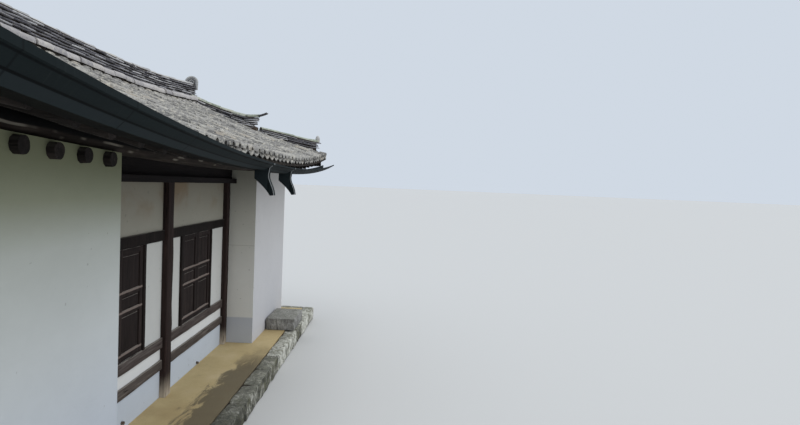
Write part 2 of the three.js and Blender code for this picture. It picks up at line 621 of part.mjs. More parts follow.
REAR_WINDOW_X.forEach((x, i) => {
  const end = x + WINDOW_WIDTH;
  const face = REAR_WALL_Y - REAR_LEAF_SET_BACK;
  const bottom = high(SILL_RAIL[1]) - 1;
  const top = high(HEAD_RAIL[0]) + 1;
  const board = box(x, end, face - LEAF_THICK, face, bottom, top);
  const jambs = [x, end - JAMB].map((at) => box(at, at + JAMB, rearInside + 10, REAR_WALL_Y, bottom, top));
  const half = WINDOW_WIDTH / 2;
  const pockets = [x + JAMB, x + half].flatMap((start) => LEAF_PANELS.map(([low, tall]) =>
    box(start + LEAF_STILE, start + half - JAMB - LEAF_STILE, face - LEAF_POCKET, face + 5,
      high(low), high(tall))));
  const window = pockets.reduce((whole, pocket) => whole.subtract(pocket), join([board, ...jambs]));
  place(`rear_${i === 0 ? 'left' : 'right'}_window`, geometryOf(window), 'timber');
});

// The raised heated floor fills the rooms up to the lower rail.
const floorX = END_WALL_X - WALL - GAP;
const floorBack = REAR_WALL_Y - WALL - GAP;
const floorTop = high(FLOOR_TOP);
const floorParts = [
  box(-floorX, floorX, wingBack + GAP, floorBack, Z0, floorTop),
  box(-floorX, LEFT_WING_FACE_X - WALL - GAP, wingInside, wingBack + 1, Z0, floorTop),
  box(RIGHT_WING_FACE_X + WALL + GAP, floorX, wingInside, wingBack + 1, Z0, floorTop),
];
const postCutter = box(-POST / 2 - GAP, POST / 2 + GAP, postY[0], postY[1] + GAP, 0, 3000)
  .add(box(BAY - POST / 2 - GAP, RIGHT_WING_FACE_X, postY[0], postY[1] + GAP, 0, 3000));
place('floor', geometryOf(join(floorParts).subtract(postCutter)), 'earth');

// The gable walls stand on the hip ends and close the roof under the verges.
const GABLE_HALF_Y = 1250;
for (const [word, hand] of hands) {
  const raw = solid(mapped(1, 10, 1, (a, b, c) => {
    const x = hand * (GABLE_X - GABLE_THICK * (hand > 0 ? 1 - a : a));
    const y = (2 * b - 1) * GABLE_HALF_Y;
    const surface = c > 0.5 ? deckTop(x, Math.abs(y)) : hipDeckTop(x, y);
    return [x, y, surface - DECK_THICK / 2];
  }));
  place(`${word}_gable`, geometryOf(largest(raw.subtract(allRafters))), 'plaster');
}

// The main ridge: a rounded band of stacked tiles along the ridge line, on its wider foot.
function ridgeSection(g) {
  const foot = RIDGE_FOOT.width / 2 + g;
  const footTop = RIDGE_FOOT.top + g;
  const half = RIDGE_WIDTH / 2 + g;
  const height = RIDGE_TOP_Z - RIDGE_BED_Z + RIDGE_FOOT.deep + 2 * g;
  const crown = height - RIDGE_CROWN.high;
  const [lean, shoulder] = [RIDGE_CROWN.lean * half, RIDGE_CROWN.shoulder * half];
  const shape = new THREE.Shape();
  shape.moveTo(-foot, 0);
  shape.lineTo(foot, 0);
  shape.lineTo(foot, RIDGE_FOOT.side);
  shape.quadraticCurveTo(foot, footTop, foot - RIDGE_FOOT.round, footTop);
  shape.lineTo(half, footTop);
  shape.lineTo(lean, crown);
  shape.quadraticCurveTo(shoulder, height, 0, height);
  shape.quadraticCurveTo(-shoulder, height, -lean, crown);
  shape.lineTo(-half, footTop);
  shape.lineTo(RIDGE_FOOT.round - foot, footTop);
  shape.quadraticCurveTo(-foot, footTop, -foot, RIDGE_FOOT.side);
  shape.closePath();
  return shape;
}
function mainRidge(g) {
  const length = 2 * (RIDGE_HALF_X + g);
  const settings = { depth: length, steps: 18, bevelEnabled: false, curveSegments: 2 };
  const geometry = new THREE.ExtrudeGeometry(ridgeSection(g), settings)
    .rotateX(Math.PI / 2)
    .rotateZ(Math.PI / 2)
    .translate(-length / 2, 0, RIDGE_BED_Z - RIDGE_FOOT.deep - g);
  return solid(shifted(geometry, (x) => [0, 0, ridgeRise(x)]));
}
const ridge = mainRidge(0).subtract(allBeds).subtract(allRafters);
place('main_ridge', geometryOf(largest(ridge)), 'tile');
const ridgeCutter = mainRidge(GAP);

// Bargeboards along the verges, one pair a gable, meeting under the ridge.
const BOARD = { thick: 36, top: 20, height: 290, reach: 1500 };
for (const [word, hand] of hands) {
  const inner = VERGE_X + 2 * GAP;
  const half = (side) => solid(mapped(1, 6, 1, (a, b, c) => {
    const x = mix(inner, inner + BOARD.thick, hand > 0 ? a : 1 - a);
    const d = mix(0, BOARD.reach, side < 0 ? 1 - b : b);
    const top = tileTop(hand * VERGE_X, d) - BOARD.top;
    return [hand * x, side * d, c > 0.5 ? top : top - BOARD.height];
  }));
  const pair = half(-1).add(half(1)).subtract(bedCutters[word]).subtract(cutters[word]).subtract(ridgeCutter);
  place(`${word}_bargeboard`, geometryOf(largest(pair)), 'timber');
}

// A side ridge rides on the tiles and fills the valleys beside the row under it. Its top rises over them by
// a curve that grows with the square of the way down, its end curls up, and the foot of its end stands back.
const SIDE_RIDGE_FOOT = 130;
const DOWN_RIDGE = { start: RIDGE_WIDTH / 2 - 20, end: 1660, rise: 55, slope: -0.0436, growth: 0.148e-3 };
const DOWN_CURL = { start: 1400, run: 240, height: 60, setBack: 120 };
const SIDE_RIDGE_CROWN = 27;
function descendingRidge(hand, side, g) {
  return solid(mapped(2, 12, 2, (a, b, c) => {
    const end = DOWN_RIDGE.end + g - DOWN_CURL.setBack * square(1 - c);
    const d = mix(DOWN_RIDGE.start, end, side < 0 ? 1 - b : b);
    const across = (2 * a - 1) * (SIDE_RIDGE_WIDTH / 2 + g);
    const surface = tileTop(hand * SIDE_RIDGE_X, d);
    const curl = DOWN_CURL.height * square(Math.max(0, d - DOWN_CURL.start) / DOWN_CURL.run);
    const top = surface + DOWN_RIDGE.rise + DOWN_RIDGE.slope * d + DOWN_RIDGE.growth * d * d + curl + g;
    const crown = Math.abs(a - 0.5) > 0.25 ? SIDE_RIDGE_CROWN : 0;
    const z = mix(surface - SIDE_RIDGE_FOOT - g, top, c) - (c > 0.9 ? crown : 0);
    return [hand * SIDE_RIDGE_X + across, side * d, z];
  }));
}

const CORNER_RIDGE = { x: 4660, run: 1010, rise: 110, growth: 86, width: 180 };
const CORNER_CURL = { start: 0.8, height: 110 };
function cornerRidge(hand, side) {
  return solid(mapped(2, 10, 2, (a, b, c) => {
    const x = CORNER_RIDGE.x + b * CORNER_RIDGE.run;
    const d = x - HIP_OFFSET;
    const flip = hand * side;
    const across = (2 * a - 1) * (CORNER_RIDGE.width / 2) / Math.SQRT2;
    const surface = tileTop(hand * x, d);
    const curl = CORNER_CURL.height * square(Math.max(0, b - CORNER_CURL.start) / (1 - CORNER_CURL.start));
    const top = surface + CORNER_RIDGE.rise + CORNER_RIDGE.growth * b + curl;
    const crown = Math.abs(a - 0.5) > 0.25 ? SIDE_RIDGE_CROWN : 0;
    const z = mix(surface - SIDE_RIDGE_FOOT, top, c) - (c > 0.9 ? crown : 0);
    return [hand * (x + flip * across), side * (d - flip * across), z];
  }));
}

for (const [handWord, hand] of hands) {
  for (const [sideWord, side] of sides) {
    const down = descendingRidge(hand, side, 0).subtract(allBeds).subtract(ridgeCutter);
    place(`${sideWord}_${handWord}_descending_ridge`, geometryOf(largest(down)), 'tile');
    const downCutter = descendingRidge(hand, side, GAP);
    const corner = cornerRidge(hand, side).subtract(allBeds).subtract(downCutter);
    place(`${sideWord}_${handWord}_corner_ridge`, geometryOf(largest(corner)), 'tile');
  }
}

// The upright end tiles of the main ridge lean outwards as they rise.
for (const [word, hand] of hands) {
  const foot = RIDGE_TOP_Z - ORNAMENT.foot + ridgeRise(hand * RIDGE_HALF_X);
  const height = ORNAMENT.top - foot;
  const half = ORNAMENT.width / 2;
  const shape = new THREE.Shape();
  shape.moveTo(-half, 0);
  shape.lineTo(half, 0);
  shape.lineTo(half, height - half);
  shape.absarc(0, height - half, half, 0, Math.PI, false);
  shape.closePath();
  const settings = { depth: ORNAMENT.thick, steps: 1, bevelEnabled: false, curveSegments: 16 };
  const geometry = new THREE.ExtrudeGeometry(shape, settings)
    .rotateX(Math.PI / 2)
    .rotateZ(Math.PI / 2)
    .translate(hand > 0 ? RIDGE_HALF_X + GAP : -RIDGE_HALF_X - GAP - ORNAMENT.thick, 0, foot);
  shifted(geometry, (x, y, z) => [hand * ORNAMENT.lean * square((z - foot) / height), 0, 0]);
  place(`${word}_ridge_ornament`, geometryOf(solid(geometry)), 'tile');
}

// The gutters: a moulded trough under each long eave, deeper at its left end. Its middle length has two
// curved spouts.
function gutterSection() {
  const wallIn = DECK_D + 0.5;
  const t = GUTTER_PLATE;
  const outline = [
    [wallIn, -30], [wallIn, -140], [2780, -140], [2796, -126], [2850, -78], [2880, -44], [2900, -34],
    [2900, 0], [2900 - t, 0], [2900 - t, -24], [2870, -34], [2840, -66], [2784, -116], [2772, -140 + t],
    [wallIn + t, -140 + t], [wallIn + t, -30],
  ];
  return new THREE.Shape(outline.map(([d, z]) => new THREE.Vector2(d, z)));
}
// The section's heights are scaled: the trough is 90 deep, and deeper towards its left end. Its inner wall
// rises before the rafters' ends and stays under the bed's edge.
const gutterDepth = (x) => 0.643 + 0.136e-3 * Math.max(0, -300 - x);
const gutterTop = (x) => GUTTER_TOP_Z + gutterRise(x);
const INNER_WALL_END = DECK_D + 20;
function gutterHeight(x, y, z) {
  const scaled = z * gutterDepth(x) + gutterTop(x);
  const underBed = tileTop(x, EAVE_D) - eaveBedThick(x) - 10;
  return Math.abs(y) < INNER_WALL_END ? Math.min(scaled, underBed) : scaled;
}

// A spout's side: it leaves the trough's sloping face, swings in, then out to a hooked tip.
function spoutShape() {
  const shape = new THREE.Shape();
  shape.moveTo(2664, -86);
  shape.lineTo(2788, -86);
  shape.lineTo(2800, -76);
  shape.lineTo(2844, -50);
  shape.lineTo(2828, -140);
  shape.bezierCurveTo(2822, -215, 2888, -265, 2898, -385);
  shape.lineTo(2854, -390);
  shape.quadraticCurveTo(2800, -295, 2664, -190);
  shape.closePath();
  return shape;
}

// Carries a section of (distance from ridge, height) along X over the given length.
function alongX(shape, x0, x1, steps, side) {
  const settings = { depth: x1 - x0, steps, bevelEnabled: false, curveSegments: 6 };
  const geometry = new THREE.ExtrudeGeometry(shape, settings).rotateX(Math.PI / 2).rotateZ(Math.PI / 2);
  geometry.translate(x0, 0, 0);
  if (side > 0) return geometry;
  return geometry.rotateZ(Math.PI).translate(x0 + x1, 0, 0);
}

for (const [word, side] of sides) {
  ['left', 'middle', 'right'].forEach((lengthWord, i) => {
    const [x0, x1] = [GUTTER_JOINTS[i] + GAP / 2, GUTTER_JOINTS[i + 1] - GAP / 2];
    const trough = alongX(gutterSection(), x0, x1, Math.ceil((x1 - x0) / GUTTER_STEP), side);
    shifted(trough, (x, y, z) => [0, 0, gutterHeight(x, y, z) - z]);
    const spouts = SPOUT_X.filter((x) => x > x0 && x < x1).map((x) => {
      const length = alongX(spoutShape(), x - SPOUT_WIDTH / 2, x + SPOUT_WIDTH / 2, 1, side);
      return solid(length.translate(0, 0, gutterTop(x)));
    });
    place(`${word}_gutter_${lengthWord}`, geometryOf(join([solid(trough), ...spouts])), 'sheet');
  });
}

export default house;
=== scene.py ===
"""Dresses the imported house: tiles, ridges, timber, shutters, plaster, stones, gutters, then view and light.

Metres, +Z up. X runs along the house, -Y faces the courtyard and the ridge stands over Y = 0. Left and
right are as seen from the courtyard. d is a place's distance from the ridge in plan.
"""
import math

import bpy
import numpy as np
from mathutils import Matrix


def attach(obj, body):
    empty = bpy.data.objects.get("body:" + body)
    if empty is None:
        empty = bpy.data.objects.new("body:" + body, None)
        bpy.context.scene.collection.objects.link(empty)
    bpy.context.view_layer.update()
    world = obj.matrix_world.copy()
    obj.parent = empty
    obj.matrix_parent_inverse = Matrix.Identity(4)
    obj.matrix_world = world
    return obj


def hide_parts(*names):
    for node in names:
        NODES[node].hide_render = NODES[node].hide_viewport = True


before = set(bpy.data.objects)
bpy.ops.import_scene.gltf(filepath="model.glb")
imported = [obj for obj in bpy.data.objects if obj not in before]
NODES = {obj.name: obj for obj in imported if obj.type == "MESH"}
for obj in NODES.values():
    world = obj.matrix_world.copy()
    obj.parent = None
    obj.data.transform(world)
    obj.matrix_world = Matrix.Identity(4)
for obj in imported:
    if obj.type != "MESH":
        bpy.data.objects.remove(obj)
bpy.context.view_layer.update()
scene = bpy.context.scene
chance = np.random.default_rng(11)
SIDES = ((-1, "front"), (1, "rear"))
HANDS = ((-1, "left"), (1, "right"))

# Platform and walls, as in the solids.
PLATFORM_TOP = 0.27
PLATFORM_HALF_X = 5.6
PLATFORM_HALF_Y = 2.608
KERB_WIDTH = 0.237
BAY = 2.424
POST = 0.182
FRONT_WALL_Y = -1.5
WING_FRONT_Y = -2.005
REAR_WALL_Y = 1.59
END_WALL_X = 4.887
WALL = 0.15
WALL_TOP = 3.27
LEFT_WING_FACE_X = -2.222
RIGHT_WING_FACE_X = 2.483
STONE_LENGTHS = (0.35, 0.9)
POST_PROUD = 0.07
RAIL_PROUD = 0.03


def above_platform(*heights):
    return [PLATFORM_TOP + height for height in heights]


# Heights of the wall timbers, and the windows.
LOWER_RAIL = above_platform(0.36, 0.48)
SILL_RAIL = above_platform(0.633, 0.762)
HEAD_RAIL = above_platform(1.981, 2.109)
REAR_BEAM = above_platform(2.7, 2.86)
BEAM_BOTTOM = REAR_BEAM[0]
WINDOW_WIDTH = 1.245
WINDOW_X = (-1.832, 0.49)
REAR_WINDOW_X = (-BAY / 2 - WINDOW_WIDTH / 2, BAY / 2 - WINDOW_WIDTH / 2)
JAMB = 0.062
LEAF_THICK = 0.034
LEAF_STILE = 0.075
LEAF_FACE_Y = FRONT_WALL_Y - 0.015
REAR_LEAF_FACE_Y = REAR_WALL_Y - 0.012
LEAF_RAILS = [above_platform(*pair) for pair in
              ((0.765, 0.85), (1.262, 1.314), (1.466, 1.524), (1.915, 1.978))]

# The roof in plan and height, as in the solids.
EAVE_D = 2.75
DECK_D = 2.65
VERGE_X = 4.75
HIP_START_D = 1.65
HIP_OFFSET = VERGE_X - HIP_START_D
GABLE_X = 4.5
KNEE_D = 1.3
EAVE_Z = 3.425
EAVE_LOW_X = 0.9
EAVE_BEND_X = -2.2
RIDGE_BED_Z = 4.56
RIDGE_TOP_Z = 4.835
RIDGE_LOW_X = 1.3
RIDGE_HALF_X = 4.83
DECK_RIDGE_Z = 4.41
DECK_KNEE_Z = 3.613
DECK_EAVE_Z = 3.325
END_TILE_TOP_Z = 5.138
SIDE_RIDGE_X = 4.62
CORNER_RIDGE_X = 4.66
SLOPE_SAG = 0.05
HIP_DIP = 0.1
BED_THICK = 0.165
BED_THINNER = 0.04
BOARD_THICK = 0.025

# Rafters, purlin and joists.
RAFTER_R = 0.06
RAFTER_STEP = BAY / 6
RAFTER_AXIS_DROP = 0.072
RAFTER_REACH = 11
RAFTER_END_D = 2.636
FAN_START_D = 1.5
FAN = ((4.4, 4.85), (4.45, 5.15), (4.45, 5.45))
HIP_FAN_START = (4.8, 1.45)
HIP_FAN_ENDS = (1.65, 2.0, 2.32)
CORNER_RAFTER_X = (4.85, 5.69)
PURLIN_R = 0.09
PURLIN_D = 1.9
JOIST_R = 0.061
JOIST_STEP = 0.375
JOIST_FIRST_X = -2.475
JOIST_DROP = 0.066

# Tiles.
ROW_PITCH = 0.264
COVER_RADIUS = 0.071
TILE_THICK = 0.017
COVER_EXPOSURE = 0.27
PAN_EXPOSURE = 0.125
PAN_HALF = 0.122
PAN_DEPTH = 0.04
PAN_EDGE_DROP = 0.062
BED_TOP_DROP = 0.121
CAP_RADIUS = 0.078
SMALL_RADIUS = 0.064
FLAT_TILE_LENGTH = 0.285
SPOUT_X = (-0.24, 1.14)

# The photograph's view: a point, three turns in degrees, and the focal length in its pixels.
EYE = (-7.2, -4.405, 3.044)
PITCH, YAW, ROLL = -2.651, 0.141, 2.378
FOCAL, PHOTO_WIDTH = 576.37, 800


def bowed(x, low, left, right):
    """c (x - low)^2, where c is one number to the left of the low point and another to its right."""
    return np.where(x > low, right, left) * (x - low) ** 2


def eave_rise(x):
    """0.0122 (x - 0.9)^2 to the right of 0.9, flat to its left, and 0.025 (x + 2.2)^2 to the left of -2.2."""
    return bowed(x, EAVE_LOW_X, 0, 0.0122) + 0.025 * np.minimum(0, x - EAVE_BEND_X) ** 2


def purlin_rise(x):
    return bowed(x, EAVE_LOW_X, 0.0048, 0.0061)


def ridge_rise(x):
    return bowed(x, RIDGE_LOW_X, 0.0046, 0.0136)


def tile_top(x, d):
    """Crest of the tile rows: a chord from ridge bed to eave, less a sag 4 s t (1 - t) with t = d / eave."""
    t = d / EAVE_D
    chord = (RIDGE_BED_Z + ridge_rise(x)) * (1 - t) + (EAVE_Z + eave_rise(x)) * t
    return chord - 4 * SLOPE_SAG * t * (1 - t)


def deck_top(x, d):
    """Top of the roof boards: straight from ridge to knee and from knee to eave. The knee's height lets the
    lower part pass over the purlin, a share of the way down."""
    share = (PURLIN_D - KNEE_D) / (DECK_D - KNEE_D)
    knee = DECK_KNEE_Z + (purlin_rise(x) - share * eave_rise(x)) / (1 - share)
    ridge = DECK_RIDGE_Z + ridge_rise(x)
    eave = DECK_EAVE_Z + eave_rise(x)
    upper = ridge + (knee - ridge) * d / KNEE_D
    lower = knee + (eave - knee) * (d - KNEE_D) / (DECK_D - KNEE_D)
    return np.where(d < KNEE_D, upper, lower)


PURLIN_Z = float(deck_top(EAVE_LOW_X, PURLIN_D)) - RAFTER_AXIS_DROP - RAFTER_R - PURLIN_R


def hip_dip(x, y):
    """How far a hip end hangs between its corners: growing outwards, and 1 - (y / corner)^2 across."""
    corner = np.abs(x) - HIP_OFFSET
    reach = np.maximum(0, (np.abs(x) - GABLE_X) / (HIP_OFFSET + EAVE_D - GABLE_X))
    return HIP_DIP * reach * (1 - np.minimum(1, (y / corner) ** 2))


def over_hip(top):
    """A hip end's surface: the long side's height at the hip line, less the dip."""
    return lambda x, y: top(x, np.abs(x) - HIP_OFFSET) - hip_dip(x, y)


hip_tile_top = over_hip(tile_top)
hip_deck_top = over_hip(deck_top)


def bed_thick(x):
    """The bed's thickness at the eave, which fades by 0.04 from the middle to the bend."""
    return BED_THICK - BED_THINNER * np.clip(x / EAVE_BEND_X, 0, 1)


def stack(x, y, z):
    """Three arrays that spread to one shape, as points."""
    return np.stack(np.broadcast_arrays(x, y, z), -1)


def long_side(side):
    """Front (-1) or rear (1) slope as a frame: s along the house, t down the slope, h over the crests."""
    return lambda s, t, h: stack(s, side * t, tile_top(s, np.maximum(t, 0)) + h)


def hip_side(hand):
    """Left (-1) or right (1) hip end: s runs across the house, t is the distance past the hip offset."""
    x = lambda t: hand * (HIP_OFFSET + t)
    return lambda s, t, h: stack(x(t), s, hip_tile_top(x(t), s) + h)


def shells(loops):
    """Closed solids from loops of shape (pieces, stations, points, 3), whose second half runs back under the
    first. Quads join the loops and close both ends, and a solid of negative volume is turned round."""
    pieces, stations, count = loops.shape[:3]
    ring = np.arange(count)
    after = (ring + 1) % count
    faces = []
    for start in np.arange(stations - 1) * count:
        faces.append(start + np.stack([ring, after, count + after, count + ring], 1))
    top = np.arange(count // 2 - 1)
    under = count - 1 - top
    faces.append(np.stack([top, under, under - 1, top + 1], 1))
    faces.append((stations - 1) * count + np.stack([top, top + 1, under - 1, under], 1))
    faces = np.concatenate(faces)
    corners = loops.reshape(pieces, -1, 3)[:, faces]
    areas = np.cross(corners[:, :, 2] - corners[:, :, 0], corners[:, :, 3] - corners[:, :, 1])
    reach = corners[:, :, 0] - corners.mean((1, 2))[:, None]
    volume = np.einsum("pfi,pfi->p", areas, reach)[:, None, None]
    faces = np.where(volume < 0, faces[None, :, ::-1], faces[None])
    offsets = (np.arange(pieces) * stations * count)[:, None, None]
    return loops.reshape(-1, 3), (faces + offsets).reshape(-1, 4)


def toned(loops, tone=None):
    """The shells with one tone value for each solid, repeated on its points."""
    points, faces = shells(loops)
    tones = chance.random(len(loops)) if tone is None else np.full(len(loops), tone)
    return points, faces, np.repeat(tones, loops.shape[1] * loops.shape[2])


def add_object(name, data):
    thing = bpy.data.objects.new(name, data)
    scene.collection.objects.link(thing)
    return thing


def assemble(name, parts, finish, replaces=(), smooth=None):
    """One mesh from many closed parts. smooth is the angle in degrees up to which edges are shaded round."""
    starts = np.cumsum([0] + [len(part[0]) for part in parts[:-1]])
    points, faces, tones = (np.concatenate(arrays) for arrays in zip(*(
        (points, faces + start, tones) for (points, faces, tones), start in zip(parts, starts))))
    mesh = bpy.data.meshes.new(name)
    mesh.from_pydata(points, [], faces, shade_flat=False)
    attribute = mesh.attributes.new("tone", "FLOAT", "POINT")
    attribute.data.foreach_set("value", tones.astype(np.float32))
    if smooth:
        mesh.shade_smooth()
        mesh.set_sharp_from_angle(angle=math.radians(smooth))
    mesh.materials.append(finish)
    piece = add_object(name, mesh)
    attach(piece, "root")
    if replaces:
        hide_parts(*replaces)


class Value:
    """A shader socket in arithmetic: each operation adds its Math node."""

    def __init__(self, finish, socket):
        self.finish = finish
        self.socket = socket

    def math(self, operation, a, b=0):
        return self.finish.node("Math", {"operation": operation}, {0: a, 1: b})

    def __add__(self, other):
        return self.math("ADD", self, other)

    def __sub__(self, other):
        return self.math("SUBTRACT", self, other)

    def __rsub__(self, other):
        return self.math("SUBTRACT", other, self)

    def __mul__(self, other):
        return self.math("MULTIPLY", self, other)

    def __abs__(self):
        return self.math("ABSOLUTE", self)

    __radd__ = __add__
    __rmul__ = __mul__


class Finish:
    """One material. Patterns read Object coordinates, which are metres in the house's own frame."""

    def __init__(self, name):
        self.material = bpy.data.materials.new(name)
        self.material.use_nodes = True
        self.nodes, self.links = self.material.node_tree.nodes, self.material.node_tree.links
        self.shader = self.nodes["Principled BSDF"]
        self.here = self.node("TexCoord", out="Object")
        self.x, self.y, self.z = (self.node("SeparateXYZ", inputs={0: self.here}, out=i) for i in range(3))

    def node(self, kind, settings=None, inputs=None, out=0):
        """Adds a node: its settings first, with a ramp's stops, then the values or links of its sockets."""
        made = self.nodes.new("ShaderNode" + kind)
        for key, value in (settings or {}).items():
            if key == "stops":
                ramp = made.color_ramp
                while len(ramp.elements) < len(value):
                    ramp.elements.new(1)
                for element, (spot, color) in zip(ramp.elements, value):
                    element.position = spot
                    element.color = (*color, 1)
            else:
                setattr(made, key, value)
        for key, value in (inputs or {}).items():
            self.feed(made.inputs[key], value)
        return Value(self, made.outputs[out])

    def feed(self, socket, value):
        if isinstance(value, Value):
            self.links.new(value.socket, socket)
        elif socket.type == "RGBA" and len(value) == 3:
            socket.default_value = (*value, 1)
        else:
            socket.default_value = value

    def noise(self, scale, detail=3, rough=0.55, stretch=(1, 1, 1), shift=(0, 0, 0), warp=0):
        """Noise from 0 to 1. stretch multiplies the coordinates, so a small number draws it out."""
        spot = self.node("Mapping", inputs={"Vector": self.here, "Scale": stretch, "Location": shift})
        return self.node("TexNoise", inputs={
            "Vector": spot, "Scale": scale, "Detail": detail, "Roughness": rough, "Distortion": warp})

    def step(self, value, low, high):
        """0 below low, 1 above high and smooth between. low may be above high."""
        if low > high:
            return 1 - self.step(value, high, low)
        return self.node("MapRange", {"interpolation_type": "SMOOTHSTEP"},
                         {"Value": value, "From Min": low, "From Max": high})

    def near(self, value, spot, half, soft):
        """1 within half of a spot, and 0 past half plus soft."""
        return self.step(abs(value - spot), half + soft, half)

    def mix(self, mask, a, b):
        return self.node("Mix", {"data_type": "RGBA"}, {0: mask, 6: a, 7: b}, 2)

    def paint(self, mask, tint):
        """Lays a tint over the colour so far, as strongly as the mask says."""
        self.color = self.mix(mask, self.color, tint)

    def shade(self, color, mask):
        """The colour multiplied by a grey value."""
        return self.node("VectorMath", {"operation": "SCALE"}, {0: color, "Scale": mask})

    def ramp(self, value, *stops):
        return self.node("ValToRGB", {"stops": stops}, {0: value})

    def tone(self):
        return self.node("Attribute", {"attribute_name": "tone"}, out="Fac")

    def facing(self, axis):
        """How much the surface faces along an axis of the house, from -1 to 1."""
        normal = self.node("NewGeometry", out="Normal")
        return self.node("SeparateXYZ", inputs={0: normal}, out=axis)

    def done(self, color, roughness=0.9, height=None, distance=0.002, specular=0.5):
        self.feed(self.shader.inputs["Base Color"], color)
        self.feed(self.shader.inputs["Roughness"], roughness)
        self.feed(self.shader.inputs["Specular IOR Level"], specular)
        if height is not None:
            bump = self.node("Bump", inputs={"Height": height, "Distance": distance})
            self.feed(self.shader.inputs["Normal"], bump)
        return self.material


def tile_finish(name, dark, mid, light, warm, pale, grime):
    """Fired grey tile: a tone for each tile, soft blotches, pale lichen and dark growth in spots."""
    f = Finish(name)
    blotch = f.noise(7, 4)
    fine = f.noise(60, 3, 0.6)
    f.color = f.ramp(f.tone() * 0.8 + blotch * 0.45 - 0.12,
                     (0, dark), (0.4, mid), (0.78, light), (1, warm))
    lichen = f.step(f.noise(26, 5, 0.7, shift=(3.1, 0.7, 1.9)), 0.5, 0.6)
    f.paint(lichen * pale, (0.6, 0.57, 0.48))
    dirt = f.step(f.noise(9, 4, 0.7, shift=(7.7, 2.2, 0.4)), 0.57, 0.7)
    dots = f.step(f.noise(48, 3, 0.6, shift=(0.3, 5.2, 1.4)), 0.6, 0.68)
    f.paint((dirt + dots) * grime, (0.05, 0.046, 0.042))
    return f.done(f.shade(f.color, fine * 0.4 + 0.8), 0.9, fine * 0.6 + blotch, 0.004, 0.3)


def mortar_finish(name, dark, mid, pale):
    """Clay and lime between tiles and stones: lumpy and rough."""
    f = Finish(name)
    lumps = f.noise(30, 5, 0.7)
    return f.done(f.ramp(lumps, (0.3, dark), (0.55, mid), (0.78, pale)), 0.97, lumps, 0.01, 0.2)


def plaster_finish(name, stops, low=PLATFORM_TOP, high=WALL_TOP, stain=0, seam=None, left_stops=None):
    """Lime plaster: a tint for each height, faint clouds, trowel marks, specks, and brown stains under the
    beam.
    Towards the top some walls' tints darken as painted shade under the eave. Faces that look to the left may
    have tints of their own, painted light and shade, and a faint line at a seam's height."""
    f = Finish(name)
    cloud = f.noise(0.9, 4, 0.6)
    trowel = f.noise(5, 5, 0.6, stretch=(1, 1, 1.6), warp=0.6)
    fine = f.noise(90, 2)
    span = high - low
    height = f.z * (1 / span) + (f.noise(5) * 0.008 - low) * (1 / span)
    tints = lambda stops: f.ramp(height, *[((z - low) / span, tint) for z, tint in stops])
    f.color = tints(stops)
    # Faces that look to the left take tints of their own: painted light and shade on that side.
    if left_stops:
        leftwards = f.step(f.facing(0), -0.4, -0.6)
        f.paint(leftwards, tints(left_stops))
        line = f.near(f.z + cloud * 0.02, seam + 0.01, 0.003, 0.006)
        f.paint(line * leftwards * 0.3, (0.22, 0.2, 0.15))
    f.color = f.shade(f.color, cloud * 0.14 + trowel * 0.07 + 0.9)
    if stain:
        under_beam = f.step(f.z, 2.45, 2.85)
        brown = f.step(f.noise(1.6, 5, 0.62, shift=(2, 0, 0.6), warp=0.7), 0.44, 0.7)
        f.paint(brown * under_beam * stain, (0.2, 0.135, 0.075))
    specks = f.step(f.noise(17, 1, 0.5, shift=(1, 5, 2)), 0.75, 0.78)
    f.paint(specks * 0.3, (0.12, 0.11, 0.1))
    return f.done(f.color, 0.93, trowel + fine * 0.15, 0.003, 0.25)


def timber_finish(name, axis, dark, mid, worn, foot=0, dust_and_highlight=0.3, streak=0.62, edges=()):
    """Old stained timber. Grain runs along one axis, worn streaks show bare wood, the tops are pale with dust
    and painted highlight, and a post's foot is bleached. Edges are heights where the wood is pale with wear
    and painted highlight."""
    f = Finish(name)
    drawn = [1, 1, 1]
    drawn[axis] = 0.06
    grain = f.noise(38, 5, 0.65, stretch=drawn)
    bands = f.noise(9, 3, 0.6, stretch=drawn, shift=(4, 4, 4))
    f.color = f.ramp(grain * 0.7 + bands * 0.4 + f.tone() * 0.12 - 0.1,
                     (0.25, dark), (0.52, mid), (0.78, worn))
    patch = f.step(f.noise(2.6, 5, 0.7, stretch=drawn, shift=(9, 1, 3)), streak, streak + 0.12)
    f.paint(patch * 0.8, worn)
    # Up-facing faces paler: dust, and painted highlight from the sky.
    f.paint(f.step(f.facing(2), 0.3, 0.8) * dust_and_highlight, (0.26, 0.24, 0.21))
    if foot:
        low = PLATFORM_TOP + 0.12
        bare = f.step(f.z + grain * 0.25 + bands * 0.12, low + foot, low)
        f.paint(bare * 0.9, (0.5, 0.43, 0.34))
    crack = f.step(f.noise(55, 2, 0.5, stretch=drawn, shift=(0, 7, 2)), 0.36, 0.3)
    f.paint(crack * 0.8, (0.008, 0.007, 0.006))
    # Pale bands just under the listed heights: wear, and painted highlight on the rails' top edges.
    for edge in edges:
        f.paint(f.near(f.z + grain * 0.01, edge - 0.008, 0.007, 0.008) * 0.75, (0.24, 0.19, 0.165))
    return f.done(f.color, 0.85, grain - crack * 0.8, 0.004, 0.12)


